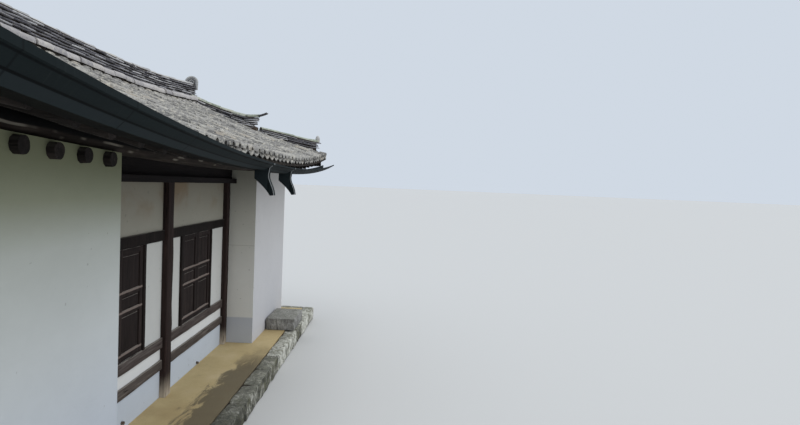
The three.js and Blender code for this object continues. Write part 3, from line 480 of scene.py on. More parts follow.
def purlin_finish():
    """The purlin: brown below, black in the rafters' shadow above, with long pale splinters on its middle."""
    f = Finish("purlin_wood")
    grain = f.noise(38, 5, 0.65, stretch=(0.05, 1, 1))
    sway = f.noise(2.2, 2, 0.5, stretch=(0.6, 0, 0))
    rise = (f.x - EAVE_LOW_X) * (f.x - EAVE_LOW_X) * 0.0048
    above_axis = f.z - rise - PURLIN_Z + sway * 0.05 - 0.025
    f.color = f.ramp(grain, (0.3, (0.01, 0.008, 0.006)), (0.55, (0.028, 0.021, 0.017)),
                     (0.75, (0.06, 0.047, 0.038)))
    f.paint(f.step(above_axis, -0.03, 0), (0.002, 0.002, 0.002))
    for height, start in ((-0.022, 0.5), (-0.052, 0.57)):
        lengths = f.noise(1.7, 2, 0.6, stretch=(1, 0, 0), shift=(height * 90, 0, 0))
        splinter = f.step(lengths, start, start + 0.08)
        f.paint(f.near(above_axis, height, 0.005, 0.007) * splinter * 0.9, (0.21, 0.19, 0.155))
    return f.done(f.color, 0.85, grain, 0.004, 0.12)


def gutter_finish():
    """Dark painted sheet: a green-grey film, painted highlight on the lip's upper face and on the low band,
    painted shade in two dark lines along the bends and black below, dull drip streaks, a dark seam about each
    metre, and a painted highlight along the spouts' outer face."""
    f = Finish("gutter_paint")
    film = f.noise(3, 4, 0.6, stretch=(0.5, 1, 1))
    drip = f.noise(26, 4, 0.6, stretch=(1, 0.08, 0.08))
    f.color = f.mix(film, (0.006, 0.009, 0.01), (0.012, 0.018, 0.019))
    f.paint(f.step(drip, 0.55, 0.8) * 0.3, (0.03, 0.036, 0.036))
    up = f.facing(2)
    # Painted highlight: faces of the lip that look up are lighter.
    f.paint(f.step(up, 0.5, 0.9) * 0.6, (0.05, 0.056, 0.054))
    out = abs(f.y)
    # Painted highlight: the low band, inside 2.824 m, is lighter.
    f.paint(f.step(out, 2.832, 2.824) * 0.6, (0.022, 0.029, 0.032))
    # Painted shade: dark lines along the bends of the profile.
    f.paint(f.near(out, 2.83, 0.003, 0.004) * 0.9, (0.001, 0.0015, 0.002))
    f.paint(f.near(out, 2.884, 0.003, 0.005) * 0.8, (0.002, 0.003, 0.004))
    # Painted shade: faces turned down are near black.
    f.paint(f.step(up, -0.85, -0.97), (0.0005, 0.0005, 0.0006))
    seam = f.near(f.node("Math", {"operation": "FRACT"}, {0: f.x + 0.4}), 0.5, 0.003, 0.008)
    f.paint(seam * 0.6, (0.003, 0.004, 0.005))
    # Painted highlight of the sky along each spout's outer face.
    for x in SPOUT_X:
        edge = f.near(f.x, x - 0.035, 0.018, 0.008) * f.step(f.facing(1), -0.3, -0.6)
        f.paint(edge * 0.8, (0.2, 0.21, 0.21))
    return f.done(f.color, 0.62 + film * 0.2, drip, 0.0008, 0.06)


def stone_finish(name, dark, mid, pale, scale, growth=0.6):
    """Rough split stone: craggy bump, pale mineral patches, upright cracks down its faces, green-brown growth
    in the hollows, and a darker tint towards the left end."""
    f = Finish(name)
    crag = f.noise(scale, 6, 0.75, warp=0.5)
    grain = f.noise(scale * 9, 4, 0.7)
    upright = f.noise(scale * 5, 4, 0.7, stretch=(1, 1, 0.22), shift=(2, 6, 1), warp=0.4)
    f.color = f.ramp(crag * 0.55 + upright * 0.45 + f.tone() * 0.16 - 0.08,
                     (0.41, dark), (0.5, mid), (0.59, pale))
    moss = f.step(f.noise(scale * 1.4, 5, 0.7, shift=(5, 3, 1)), 0.5, 0.62)
    f.paint(moss * growth, (0.1, 0.1, 0.055))
    f.paint(f.step(upright, 0.44, 0.36) * 0.7, (0.03, 0.03, 0.024))
    f.paint(f.step(f.facing(2), 0.4, 0.9) * 0.3, (0.34, 0.34, 0.28))
    # A brightness factor, darker towards the left end.
    darker_to_left = f.step(f.x, -1, 1) * 0.5 + 0.68
    relief = crag + upright * 0.8 + grain * 0.35
    return f.done(f.shade(f.color, (grain * 1.3 + 0.35) * darker_to_left), 0.95, relief, 0.03, 0.2)


def earth_finish():
    """Platform top: scuffed tan cement and earth, with a damp dark edge that creeps in from the kerb in
    slanting tongues, less so to the right."""
    f = Finish("platform_earth")
    broad = f.noise(1.3, 5, 0.6)
    grit = f.noise(70, 4, 0.7)
    f.color = f.ramp(broad, (0.3, (0.41, 0.31, 0.155)), (0.55, (0.51, 0.4, 0.21)), (0.8, (0.6, 0.49, 0.29)))
    tongues = f.noise(3.4, 6, 0.72, stretch=(0.55, 1.6, 1), warp=0.9)
    inland = f.y + 2.371 - tongues * 0.85 + f.x * 0.07
    wet = f.step(inland, 0.02, -0.14) * f.step(f.x + tongues * 1.2, 3.2, 1.6)
    f.paint(wet * 0.85, (0.105, 0.088, 0.06))
    scuff = f.step(f.noise(9, 5, 0.7, shift=(1, 2, 5)), 0.6, 0.75)
    f.paint(scuff * 0.25, (0.2, 0.17, 0.12))
    return f.done(f.shade(f.color, grit * 0.5 + 0.75), 0.93, broad + grit * 0.3, 0.006, 0.25)


tile, ridge_tile, cap_tile, row_tile, end_tile, mossy_tile = (tile_finish(*row) for row in (
    ("fired_tile", (0.09, 0.087, 0.085), (0.205, 0.198, 0.19), (0.34, 0.328, 0.305), (0.3, 0.25, 0.185),
     0.55, 0.7),
    ("ridge_tile", (0.045, 0.043, 0.052), (0.15, 0.146, 0.165), (0.42, 0.415, 0.43), (0.52, 0.52, 0.53),
     0.2, 0.5),
    ("cap_tile", (0.23, 0.232, 0.235), (0.34, 0.335, 0.34), (0.44, 0.435, 0.43), (0.42, 0.4, 0.36),
     0.35, 0.25),
    ("row_tile", (0.25, 0.24, 0.25), (0.33, 0.315, 0.315), (0.42, 0.4, 0.395), (0.38, 0.35, 0.32), 0.3, 0.35),
    ("end_tile", (0.03, 0.03, 0.034), (0.17, 0.17, 0.175), (0.36, 0.36, 0.355), (0.42, 0.42, 0.41), 0.2, 0.3),
    ("mossy_tile", (0.17, 0.19, 0.15), (0.28, 0.31, 0.25), (0.4, 0.42, 0.36), (0.33, 0.33, 0.25), 0.5, 0.5)))
dark_clay = mortar_finish("dark_clay", (0.012, 0.01, 0.009), (0.04, 0.032, 0.026), (0.1, 0.085, 0.065))
brown_clay = mortar_finish("brown_clay", (0.05, 0.038, 0.03), (0.11, 0.082, 0.062), (0.22, 0.17, 0.13))
# wing_plaster darkens from about 1.8 m up to an olive dark at the wall top: painted shade under the eave.
wing_plaster = plaster_finish("wing_plaster", (
    (0.27, (0.44, 0.475, 0.535)), (1, (0.47, 0.5, 0.54)), (1.8, (0.475, 0.495, 0.49)),
    (2.5, (0.4, 0.415, 0.38)), (2.85, (0.25, 0.26, 0.185)), (3.12, (0.195, 0.203, 0.125))))
# far_plaster: the faces that look to the left are paler as painted light above a blue-grey paint band below
# 0.711, and darken towards the top as painted shade under the eave.
far_plaster = plaster_finish("far_plaster", (
    (0.27, (0.49, 0.49, 0.51)), (1.5, (0.5, 0.495, 0.5)), (3, (0.48, 0.465, 0.45))), seam=1.93,
    left_stops=((0.27, (0.48, 0.5, 0.53)), (0.711, (0.45, 0.465, 0.5)), (0.716, (0.66, 0.65, 0.61)),
                (1.5, (0.65, 0.635, 0.59)), (2.5, (0.53, 0.515, 0.45)), (3.1, (0.33, 0.32, 0.27))))
# bay_plaster turns a darker warm tan from 2.25 m up: partly the plaster's own tint, partly painted shade
# under the beam and eave.
bay_plaster = plaster_finish("bay_plaster", (
    (0.27, (0.49, 0.535, 0.6)), (0.66, (0.5, 0.545, 0.6)), (0.7, (0.66, 0.66, 0.65)),
    (0.96, (0.64, 0.64, 0.62)), (1.04, (0.53, 0.53, 0.51)), (2.25, (0.52, 0.515, 0.48)),
    (2.36, (0.3, 0.285, 0.235)), (2.95, (0.24, 0.22, 0.17))), stain=0.75)
plain_plaster = plaster_finish("plain_plaster", (
    (0.27, (0.42, 0.45, 0.49)), (0.6, (0.52, 0.54, 0.55)), (3, (0.53, 0.53, 0.52)),
    (4.5, (0.48, 0.48, 0.46))), high=4.6)
gap_plaster = plaster_finish("gap_plaster", ((3.2, (0.42, 0.38, 0.32)), (3.7, (0.34, 0.31, 0.27))), 3.2, 3.7)
post_wood = timber_finish("post_wood", 2, (0.014, 0.009, 0.008), (0.03, 0.019, 0.017), (0.065, 0.036, 0.03),
                          foot=0.38)
frame_wood = timber_finish("frame_wood", 2, (0.005, 0.004, 0.003), (0.012, 0.008, 0.007),
                           (0.034, 0.022, 0.019))
beam_wood = timber_finish("beam_wood", 0, (0.005, 0.004, 0.004), (0.011, 0.008, 0.008), (0.028, 0.019, 0.017))
rail_wood = timber_finish("rail_wood", 0, (0.03, 0.024, 0.021), (0.085, 0.07, 0.062), (0.27, 0.24, 0.21),
                          dust_and_highlight=0.7, streak=0.53)
sill_wood = timber_finish("sill_wood", 0, (0.035, 0.026, 0.023), (0.07, 0.055, 0.05), (0.16, 0.14, 0.125),
                          dust_and_highlight=0.7, streak=0.58)
shutter_wood = timber_finish("shutter_wood", 2, (0.01, 0.007, 0.006), (0.019, 0.013, 0.012),
                             (0.042, 0.03, 0.026), dust_and_highlight=0.8, edges=[top for _, top in LEAF_RAILS[:3]])
eave_wood = timber_finish("eave_wood", 1, (0.008, 0.007, 0.0065), (0.021, 0.017, 0.0155),
                          (0.05, 0.04, 0.035))
hip_wood = timber_finish("hip_wood", 0, (0.002, 0.002, 0.002), (0.005, 0.004, 0.004), (0.012, 0.01, 0.01))
kerb_stone = stone_finish("kerb_stone", (0.055, 0.055, 0.045), (0.17, 0.165, 0.135), (0.54, 0.535, 0.48), 5)
step_stone = stone_finish("step_stone", (0.17, 0.165, 0.155), (0.28, 0.275, 0.26), (0.42, 0.415, 0.395), 6,
                          0.15)


def arc(radius, angles):
    """Points at a radius from the origin, at angles in degrees from straight up."""
    angles = np.radians(angles)
    return radius * np.stack([np.sin(angles), np.cos(angles)], 1)


def half_tube(radius, reach=80, count=9):
    """A cover tile's section: an arc of that radius with its crest at h = 0, and the same arc inside it."""
    angles = np.linspace(-reach, reach, count)
    return np.concatenate([arc(radius, angles), arc(radius - TILE_THICK, angles[::-1])]) - (0, radius)


def dished(half, depth, thick, drop, count=7):
    """A pan tile's section: depth (s / half)^2 above its low middle, with the same curve under it."""
    s = np.linspace(-half, half, count)
    h = depth * ((s / half) ** 2 - 1) - drop
    return np.concatenate([np.stack([s, h], 1), np.stack([s, h - thick], 1)[::-1]])


def half_disc(radius, drop):
    """The clay in a cover tile's open end: an arc, closed below by a flat line."""
    top = arc(radius, np.linspace(-84, 84, 9)) - (0, drop)
    base = np.stack([top[:, 0], np.full(9, -drop - 0.012)], 1)
    return np.concatenate([top, base[::-1]])


def round_rect(half_wide, half_high, edge=0.008):
    """A squared timber's section: a rectangle whose corners are quarter circles of the radius edge."""
    right = arc(edge, (90, 45, 0)) + (half_wide - edge, half_high - edge)
    top = np.concatenate([right * (-1, 1), right[::-1]])
    return np.concatenate([top, top[::-1] * (1, -1)])


def disc(radius, count=20):
    """A round section, from the left over its top and back below."""
    top = arc(radius, (np.arange(count // 2) + 0.5) * 360 / count - 90)
    return np.concatenate([top, top[::-1] * (1, -1)])


def carried(section, path, across=None, wobble=0, tone=None):
    """A section carried along a path: its first numbers lie across, its second at right angles to that and to
    the path. Wobble is how far the surface wanders, as on a hewn log."""
    path = np.asarray(path, float)
    along = np.gradient(path, axis=0)
    if across is None:
        across = np.cross((0, 0, 1), along)
    across = np.broadcast_to(across, along.shape)
    above = np.cross(along, across)
    across = across / np.linalg.norm(across, axis=1, keepdims=True)
    above = above / np.linalg.norm(above, axis=1, keepdims=True)
    waves = chance.normal(0, 1, (len(path), len(section)))
    waves = (waves + np.roll(waves, 1, 1) + np.roll(waves, -1, 1)) / 1.7
    grown = section[None] * (1 + waves[:, :, None] * wobble / np.abs(section).max())
    loops = path[:, None] + grown[..., :1] * across[:, None] + grown[..., 1:] * above[:, None]
    return toned(loops[None], tone)


def post(x0, x1, y0, y1, z0, z1, edge=0.01, wobble=0.0015):
    """An upright squared timber that fills a box."""
    x, y = (x0 + x1) / 2, (y0 + y1) / 2
    path = np.linspace((x, y, z0), (x, y, z1), max(4, int((z1 - z0) / 0.2)))
    return carried(round_rect((x1 - x0) / 2, (y1 - y0) / 2, edge), path, (1, 0, 0), wobble)


def rail(x0, x1, y0, y1, z0, z1, edge=0.008, wobble=0.0015):
    """A squared timber that fills a box and runs along X."""
    y, z = (y0 + y1) / 2, (z0 + z1) / 2
    path = np.linspace((x0, y, z), (x1, y, z), max(4, int((x1 - x0) / 0.15)))
    return carried(round_rect((y1 - y0) / 2, (z1 - z0) / 2, edge), path, (0, 1, 0), wobble)


def at(place, h):
    """A frame's surface at one height."""
    return lambda s, t: place(s, t, h)


def slab(top, low, half, stops, columns=48):
    """A closed slab between two curved surfaces of (s, t), where s runs from -half to half at each t. half is
    a number or a function of t."""
    t = np.array(stops)[:, None]
    s = np.linspace(-1, 1, columns)[None, :] * (half(t) if callable(half) else half)
    upper = top(s, t)
    lower = low(s, t)
    lower[..., 2] = np.minimum(lower[..., 2], upper[..., 2] - 0.01)
    return toned(np.concatenate([upper, lower[:, ::-1]], 1)[None], 0.3)


def lay_tiles(place, centres, uppers, lowers, section, lift=0, wander=0.005):
    """Tiles on a curved frame. Each lies lift lower at its upper end, so that it tucks under the next one,
    and each is turned, slipped and dropped a little by chance."""
    centres, uppers, lowers = (row[:, None, None] for row in np.broadcast_arrays(centres, uppers, lowers))
    t = np.array([0, 1])[None, :, None]
    shift, turn, drop, slip = (wander * chance.normal(0, 1, uppers.shape) for _ in range(4))
    along = uppers + (lowers - uppers) * t + slip
    across = centres + section[None, None, :, 0] + shift + 2 * turn * (t - 0.5)
    height = section[None, None, :, 1] + lift * (t - 1) + drop * 0.5
    return toned(place(across, along, height))


def split(rows, exposure, overlap):
    """Splits rows (centre, start, end) into tiles from the low end up. Returns centres, uppers and lowers."""
    tiles = []
    for centre, start, end in rows:
        for k in range(max(1, math.ceil((end - start) / exposure - 0.15))):
            lower = end - k * exposure
            tiles.append((centre, max(start, lower - exposure - overlap), lower))
    return np.array(tiles).T


def long_start(x):
    """Where a long side's row begins: near the ridge, or at the hip line."""
    return 0.13 if abs(x) < VERGE_X - 0.05 else HIP_START_D + abs(x) - VERGE_X + 0.02


def hip_start(y):
    """Where a hip end's row begins: at the gable, or at the hip line."""
    return GABLE_X - HIP_OFFSET + 0.01 if abs(y) < 0.8 else max(abs(y), HIP_START_D) + 0.02


def rows_to_eave(start_at, offset):
    """Tile rows from their starts down to the eave, as (centre, start, end)."""
    centres = [(k + offset) * ROW_PITCH for k in range(-23, 23)]
    return [(s, start_at(s), EAVE_D - 0.008) for s in centres if start_at(s) < EAVE_D - 0.1]


def roof_side(name, place, start_at, half, boards, node):
    """One side of the roof: the clay bed, the pans and covers on it, and the clay that stands back in the
    covers' open ends."""
    covers = rows_to_eave(start_at, 0.5)
    pans = rows_to_eave(start_at, 0)
    stops = [0.02, 0.45, 0.9, KNEE_D, HIP_START_D, 1.9, 2.2, 2.45, DECK_D, DECK_D + 0.01, EAVE_D - 0.025]
    stops = [stop for stop in stops if stop >= min(start for _, start, _ in covers) - 0.12]
    pan = dished(PAN_HALF, PAN_DEPTH, TILE_THICK, PAN_EDGE_DROP)
    parts = [lay_tiles(place, *split(covers, COVER_EXPOSURE, 0.03), half_tube(COVER_RADIUS), 0.02),
             lay_tiles(place, *split(pans, PAN_EXPOSURE, 0.05), pan, 0.016, 0.004)]
    assemble(f"{name}_tiles", parts, tile, smooth=40)

    def under(s, t):
        seat = place(s, t, 0)
        past = seat[..., 2] - bed_thick(seat[..., 0]) + 0.001
        seat[..., 2] = np.where(t > DECK_D, past, boards(seat[..., 0], seat[..., 1]) + 0.006)
        return seat

    bed = slab(at(place, -BED_TOP_DROP), under, half, stops)
    plugs = lay_tiles(place, [row[0] for row in covers], EAVE_D - 0.14, EAVE_D - 0.05,
                      half_disc(COVER_RADIUS - TILE_THICK - 0.001, COVER_RADIUS), wander=0.002)
    assemble(f"{name}_clay", [bed, plugs], dark_clay, [node], smooth=40)


for side, word in SIDES:
    roof_side(word, long_side(side), long_start, lambda t: VERGE_X + np.maximum(0, t - HIP_START_D) - 0.03,
              lambda x, y: deck_top(x, np.minimum(np.abs(y), DECK_D)), f"{word}_roof_slope")
for hand, word in HANDS:
    roof_side(f"{word}_hip", hip_side(hand), hip_start, lambda t: np.where(t < HIP_START_D, 0.82, t - 0.01),
              hip_deck_top, f"{word}_hip_slope")


def row_of(start, end, length, overlap=0):
    """Starts and ends of tiles laid one after another."""
    starts = np.arange(start, end - 0.3 * length, length)
    return starts, np.minimum(starts + length + overlap, end)


def flat_layer(place, start, end, depth, half, shift):
    """One layer of a ridge: flat tiles, a little crowned, whose edges stand unevenly out of the core."""
    starts, ends = row_of(start - shift, end, FLAT_TILE_LENGTH, -0.004)
    section = dished(half, -0.01, 0.019, depth, 5)
    return lay_tiles(place, 0, np.maximum(starts, start), ends, section, wander=0.0075)


def main_place(s, t, h):
    """The main ridge: t runs along the house, h = 0 on its top line."""
    return stack(t, s, RIDGE_TOP_Z + ridge_rise(t) + h)


def main_ridge():
    """Six layers of flat tiles round a dark core, a cap of cover tiles, and along each foot a pale half-round
    row on the crests, over short stop tiles in the valleys."""
    steps = np.linspace(-RIDGE_HALF_X, RIDGE_HALF_X, 40)
    blocks = [slab(at(main_place, -top), at(main_place, -low), half, steps, 3)
              for top, low, half in ((0.05, 0.42, 0.09), (0.345, 0.47, 0.235))]
    assemble("main_ridge_core", blocks, dark_clay, ["main_ridge"])
    layers = [flat_layer(main_place, -RIDGE_HALF_X, RIDGE_HALF_X, 0.078 + 0.037 * k, (0.126, 0.115)[k % 2],
                         0.14 * (k % 2)) for k in range(6)]
    assemble("main_ridge_layers", layers, ridge_tile)
    cap = lay_tiles(main_place, 0, *row_of(-RIDGE_HALF_X, RIDGE_HALF_X, 0.29, 0.02),
                    half_tube(CAP_RADIUS, 84, 11), 0.01, 0.007)
    assemble("main_ridge_caps", [cap], cap_tile, smooth=40)
    valleys = np.arange(-18, 19) * ROW_PITCH
    foot = lambda s, t, h: main_place(s, t, h - 0.298)
    row = row_of(-RIDGE_HALF_X, RIDGE_HALF_X, 0.3, -0.01)
    parts = []
    for side, _ in SIDES:
        parts.append(lay_tiles(foot, side * 0.19, *row, half_tube(0.074, 100, 13), 0.003, 0.006))
        stops = lambda s, t, h: stack(t, side * s, tile_top(t, 0.27) - 0.03 + h)
        parts.append(lay_tiles(stops, 0.262, valleys - 0.085, valleys + 0.085, half_tube(0.05)))
    assemble("main_ridge_foot_rows", parts, row_tile, smooth=40)


def side_ridge(name, place, rise, start, layers, cap_end):
    """A ridge on the tiles, under a cap of cover tiles. Its layers, as (depth, end), come out of the slope
    where the ridge is tall enough."""
    core = slab(at(place, -0.045), lambda s, t: place(s, t, -rise(t) - 0.13), 0.068,
                np.linspace(start, layers[-1][1] - 0.05, 20), 3)
    assemble(f"{name}_core", [core], dark_clay, [f"{name}_ridge"])
    run = np.linspace(start, cap_end, 200)
    parts = []
    for k, (depth, end) in enumerate(layers):
        tall = run[rise(run) > depth - 0.035]
        if len(tall) and tall[0] < end - 0.1:
            parts.append(flat_layer(place, tall[0], end, depth, (0.094, 0.086)[k % 2], 0.14 * (k % 2)))
    assemble(f"{name}_layers", parts, ridge_tile)
    cap = lay_tiles(place, 0, *row_of(start, cap_end, 0.27, 0.02), half_tube(SMALL_RADIUS, 82, 11), 0.008)
    assemble(f"{name}_cap", [cap], mossy_tile, smooth=40)


def descending_rise(t):
    """Height of a descending ridge over the crests: 0.07 + 0.02 t + 0.075 t^2, and a curl near its end."""
    return 0.07 + 0.02 * t + 0.075 * t ** 2 + 0.14 * (np.maximum(0, t - 1.2) / 0.455) ** 2


def descending_ridge(name, hand, side):
    """Runs down beside the gable. A thin dark tile turns up past its end, on a brown lump of clay."""
    x = hand * SIDE_RIDGE_X

    def over_crests(s, t, h):
        return stack(x + s, side * t, tile_top(x, t) + h)

    def place(s, t, h):
        return over_crests(s, t, descending_rise(t) + h)

    layers = ((0.078, 1.475), (0.112, 1.47), (0.148, 1.455), (0.184, 1.445), (0.22, 1.44), (0.256, 1.43))
    side_ridge(name, place, descending_rise, 0.13, layers, 1.49)
    lip = carried(dished(0.055, 0.022, 0.014, 0, 5), place(0, np.linspace(1.44, 1.65, 6), -0.018),
                  (1, 0, 0), tone=0.05)
    assemble(f"{name}_tip", [lip], ridge_tile, smooth=40)
    lump = slab(at(over_crests, 0.045), at(over_crests, -0.12), 0.075, np.linspace(1.17, 1.46, 5), 3)
    assemble(f"{name}_clay", [lump], brown_clay, smooth=40)


def corner_rise(t):
    """Height of a corner ridge over the crests: 0.095 + 0.15 t - 0.055 t^2, lifted a little at its end."""
    return 0.095 + 0.15 * t - 0.055 * t ** 2 + 0.03 * np.maximum(0, (t - 0.85) / 0.15) ** 2


def corner_ridge(name, hand, side):
    """Runs out along the 45-degree hip line, and ends in a small upright tile."""
    def place(s, t, h):
        x = CORNER_RIDGE_X + t
        slant = hand * side * s / math.sqrt(2)
        height = tile_top(hand * x, x - HIP_OFFSET) + corner_rise(t) + h
        return stack(hand * (x + slant), side * (x - HIP_OFFSET - slant), height)

    side_ridge(name, place, corner_rise, -0.03, ((0.076, 1), (0.11, 1), (0.144, 0.99), (0.178, 0.98)), 0.985)
    knob = place(0, np.full(5, 0.985), np.array([-0.06, -0.01, 0.03, 0.065, 0.09]))
    width = np.array([1, 1.1, 1.05, 0.8, 0.35])[:, None, None]
    points, *rest = carried(disc(0.045, 12), knob, (1, 0, 0), tone=0.8)
    points = points.reshape(5, -1, 3)
    middle = points.mean(1, keepdims=True)
    points = (middle + (points - middle) * width).reshape(-1, 3)
    assemble(f"{name}_end", [(points, *rest)], cap_tile, smooth=60)


main_ridge()
for hand, hand_word in HANDS:
    for side, side_word in SIDES:
        word = f"{side_word}_{hand_word}"
        descending_ridge(f"{word}_descending", hand, side)
        corner_ridge(f"{word}_corner", hand, side)


def verge_tiles():
    """Short cover tiles that lie across each verge, side by side down the gable's edge."""
    parts = []
    downs = np.arange(0.22, 1.42, 0.165)
    for hand, _ in HANDS:
        for side, _ in SIDES:
            across = lambda s, t, h: stack(hand * t, side * s, tile_top(hand * VERGE_X, s) + 0.012 + h)
            parts.append(lay_tiles(across, downs, 4.64, 4.795, half_tube(SMALL_RADIUS), 0.004))
    assemble("verge_tiles", parts, tile, smooth=40)


def ornament(hand, word):
    """An end tile: straight sides under a half circle, with a raised rim and arcs about the same centre. It
    leans out with the square of the height. Its tone follows the relief, as painted highlight on the rim and
    arcs and painted shade in the hollows."""
    foot = RIDGE_TOP_Z - 0.15 + float(ridge_rise(hand * RIDGE_HALF_X))
    height = END_TILE_TOP_Z - foot
    half = 0.134
    spring = height - half
    arch = np.radians(np.linspace(0, 86, 22))
    up = np.concatenate([np.linspace(0, spring, 14)[:-1], spring + half * np.sin(arch)])[:, None]
    wide = np.concatenate([np.full(13, half), half * np.cos(arch)])[:, None]
    y = wide * np.linspace(-1, 1, 41)
    inside = half - np.hypot(y, np.maximum(up - spring, 0))
    relief = np.where(inside < 0.03, 0.01, 0.006 * np.cos(2 * np.pi * inside / 0.044))
    lean = RIDGE_HALF_X + 0.048 * (up / height) ** 2
    outer = stack(hand * (lean + 0.04 + relief), y, foot + up)
    inner = stack(hand * (lean + 0.012 - relief), y, foot + up)
    points, faces = shells(np.concatenate([outer, inner[:, ::-1]], 1)[None])
    # Tone from the relief: raised parts lighter and hollows darker, as painted highlight and shade.
    tones = np.concatenate([relief, relief[:, ::-1]], 1).ravel() * 60 + 0.3
    assemble(f"{word}_end_tile", [(points, faces, tones)], end_tile,
             [f"{word}_ridge_ornament"], smooth=50)


def rafter(start, end):
    """A round log whose axis runs straight between two points of the boards' top, less its drop."""
    path = np.linspace(start, end, 6) - (0, 0, RAFTER_AXIS_DROP)
    return carried(disc(RAFTER_R, 14), path, wobble=0.0025)


def slope_rafters(side, word):
    """Round rafters from knee to eave, fanned near the corners, under the boards of a long side."""
    deck = lambda drop: lambda s, t: stack(s, side * t, deck_top(s, t) - drop)
    lines = [(k * RAFTER_STEP, KNEE_D, k * RAFTER_STEP) for k in range(-RAFTER_REACH, RAFTER_REACH + 1)]
    lines += [(hand * start, FAN_START_D, hand * end) for hand, _ in HANDS for start, end in FAN]
    parts = [rafter(deck(0)(x0, d0), deck(0)(x1, RAFTER_END_D)) for x0, d0, x1 in lines]
    corner_d = HIP_START_D + 0.093
    parts.append(slab(deck(0), deck(BOARD_THICK), lambda t: VERGE_X - 0.01 + np.maximum(0, t - corner_d),
                      (0.001, KNEE_D, corner_d, 2.2, DECK_D - 0.001)))
    assemble(f"{word}_rafter_logs", parts, eave_wood, [f"{word}_rafters"], smooth=40)


def hip_rafters(hand, word):
    """Round rafters and boards of a hip end, with a squared rafter under each hip line."""
    deck = lambda drop: lambda s, t: stack(hand * (HIP_OFFSET + t), s, hip_deck_top(HIP_OFFSET + t, s) - drop)
    lines = [(4.44 if abs(k) < 2 else 4.79, k * RAFTER_STEP, k * RAFTER_STEP) for k in range(-3, 4)]
    fan_x, fan_y = HIP_FAN_START
    lines += [(fan_x, side * fan_y, side * end) for side, _ in SIDES for end in HIP_FAN_ENDS]
    parts = [rafter(deck(0)(y0, x0 - HIP_OFFSET), deck(0)(y1, RAFTER_END_D)) for x0, y0, y1 in lines]
    for side, _ in SIDES:
        x = np.linspace(*CORNER_RAFTER_X, 6)
        d = x - HIP_OFFSET
        path = stack(hand * x, side * d, deck_top(hand * x, d) - 0.101)
        parts.append(carried(round_rect(0.065, 0.099, 0.012), path, wobble=0.002))
    boards = (deck(0), deck(BOARD_THICK))
    parts.append(slab(*boards, lambda t: t - 0.002, np.linspace(1.662, DECK_D - 0.001, 5), 24))
    parts.append(slab(*boards, 0.8, (1.23, 1.45, 1.665), 9))
    assemble(f"{word}_hip_rafter_logs", parts, hip_wood, [f"{word}_hip_rafters"], smooth=40)


def logs():
    """The front purlin follows the eave's curve. The left room's joists show their round ends under it."""
    x = np.linspace(-END_WALL_X + 0.001, END_WALL_X - 0.001, 50)
    purlin = carried(disc(PURLIN_R - 0.001, 24), stack(x, -PURLIN_D, PURLIN_Z + purlin_rise(x)), wobble=0.002)
    assemble("purlin_log", [purlin], purlin_finish(), ["front_purlin"], smooth=50)
    joist_z = lambda x: PURLIN_Z - PURLIN_R - JOIST_DROP + purlin_rise(x)
    parts = []
    for k in range(6):
        x = JOIST_FIRST_X - k * JOIST_STEP
        z = float(joist_z(x))
        path = np.linspace((x, WING_FRONT_Y - 0.058, z), (x, -1.652, z), 5)
        parts.append(carried(disc(JOIST_R), path, wobble=0.002))
    x = np.linspace(-END_WALL_X + WALL, LEFT_WING_FACE_X - WALL, 12)
    path = stack(x, -1.71, joist_z(x) - JOIST_R - 0.035)
    parts.append(carried(round_rect(0.049, 0.043), path, wobble=0.001))
    assemble("joist_logs", parts, eave_wood, ["wing_joists"], smooth=50)


def rafter_gaps():
    """Plaster between the rafters over the front purlin, closed up to the boards."""
    parts = []
    half = RAFTER_STEP / 2 - 0.05
    for k in range(-RAFTER_REACH, RAFTER_REACH):
        x = (k + 0.5) * RAFTER_STEP
        low = PURLIN_Z + PURLIN_R - 0.02 + float(purlin_rise(x))
        top = float(deck_top(x, PURLIN_D)) - BOARD_THICK - 0.002
        parts.append(rail(x - half, x + half, -1.93, -1.87, low, top, 0.005))
    assemble("rafter_gap_plaster", parts, gap_plaster)


verge_tiles()
for hand, word in HANDS:
    ornament(hand, word)
for side, word in SIDES:
    slope_rafters(side, word)
for hand, word in HANDS:
    hip_rafters(hand, word)
logs()
rafter_gaps()


def leaf_parts(x0, x1, face, outward):
    """One shutter leaf: two stiles, four rails, and a raised panel set back in each field. face is its outer
    side's Y, and outward is the sign of Y in front of it."""
    def depth(near, far):
        return sorted((face - outward * near, face - outward * far))

    low, high = LEAF_RAILS[0][0], LEAF_RAILS[-1][1]
    parts = [post(x, x + LEAF_STILE, *depth(0, LEAF_THICK), low, high, 0.006, 0.0006)
             for x in (x0, x1 - LEAF_STILE)]
    x0, x1 = x0 + LEAF_STILE, x1 - LEAF_STILE
    inside = (x0 - 0.004, x1 + 0.004)
    for z0, z1 in LEAF_RAILS:
        parts.append(rail(*inside, *depth(0.0015, LEAF_THICK), z0, z1, 0.009, 0.0006))
    for (_, z0), (z1, _) in zip(LEAF_RAILS, LEAF_RAILS[1:]):
        parts.append(rail(*inside, *depth(0.016, LEAF_THICK - 0.003), z0 - 0.004, z1 + 0.004, 0.004, 0))
        parts.append(rail(x0 + 0.022, x1 - 0.022, *depth(0.01, 0.02), z0 + 0.022, z1 - 0.022, 0.0045, 0.0005))
    return parts


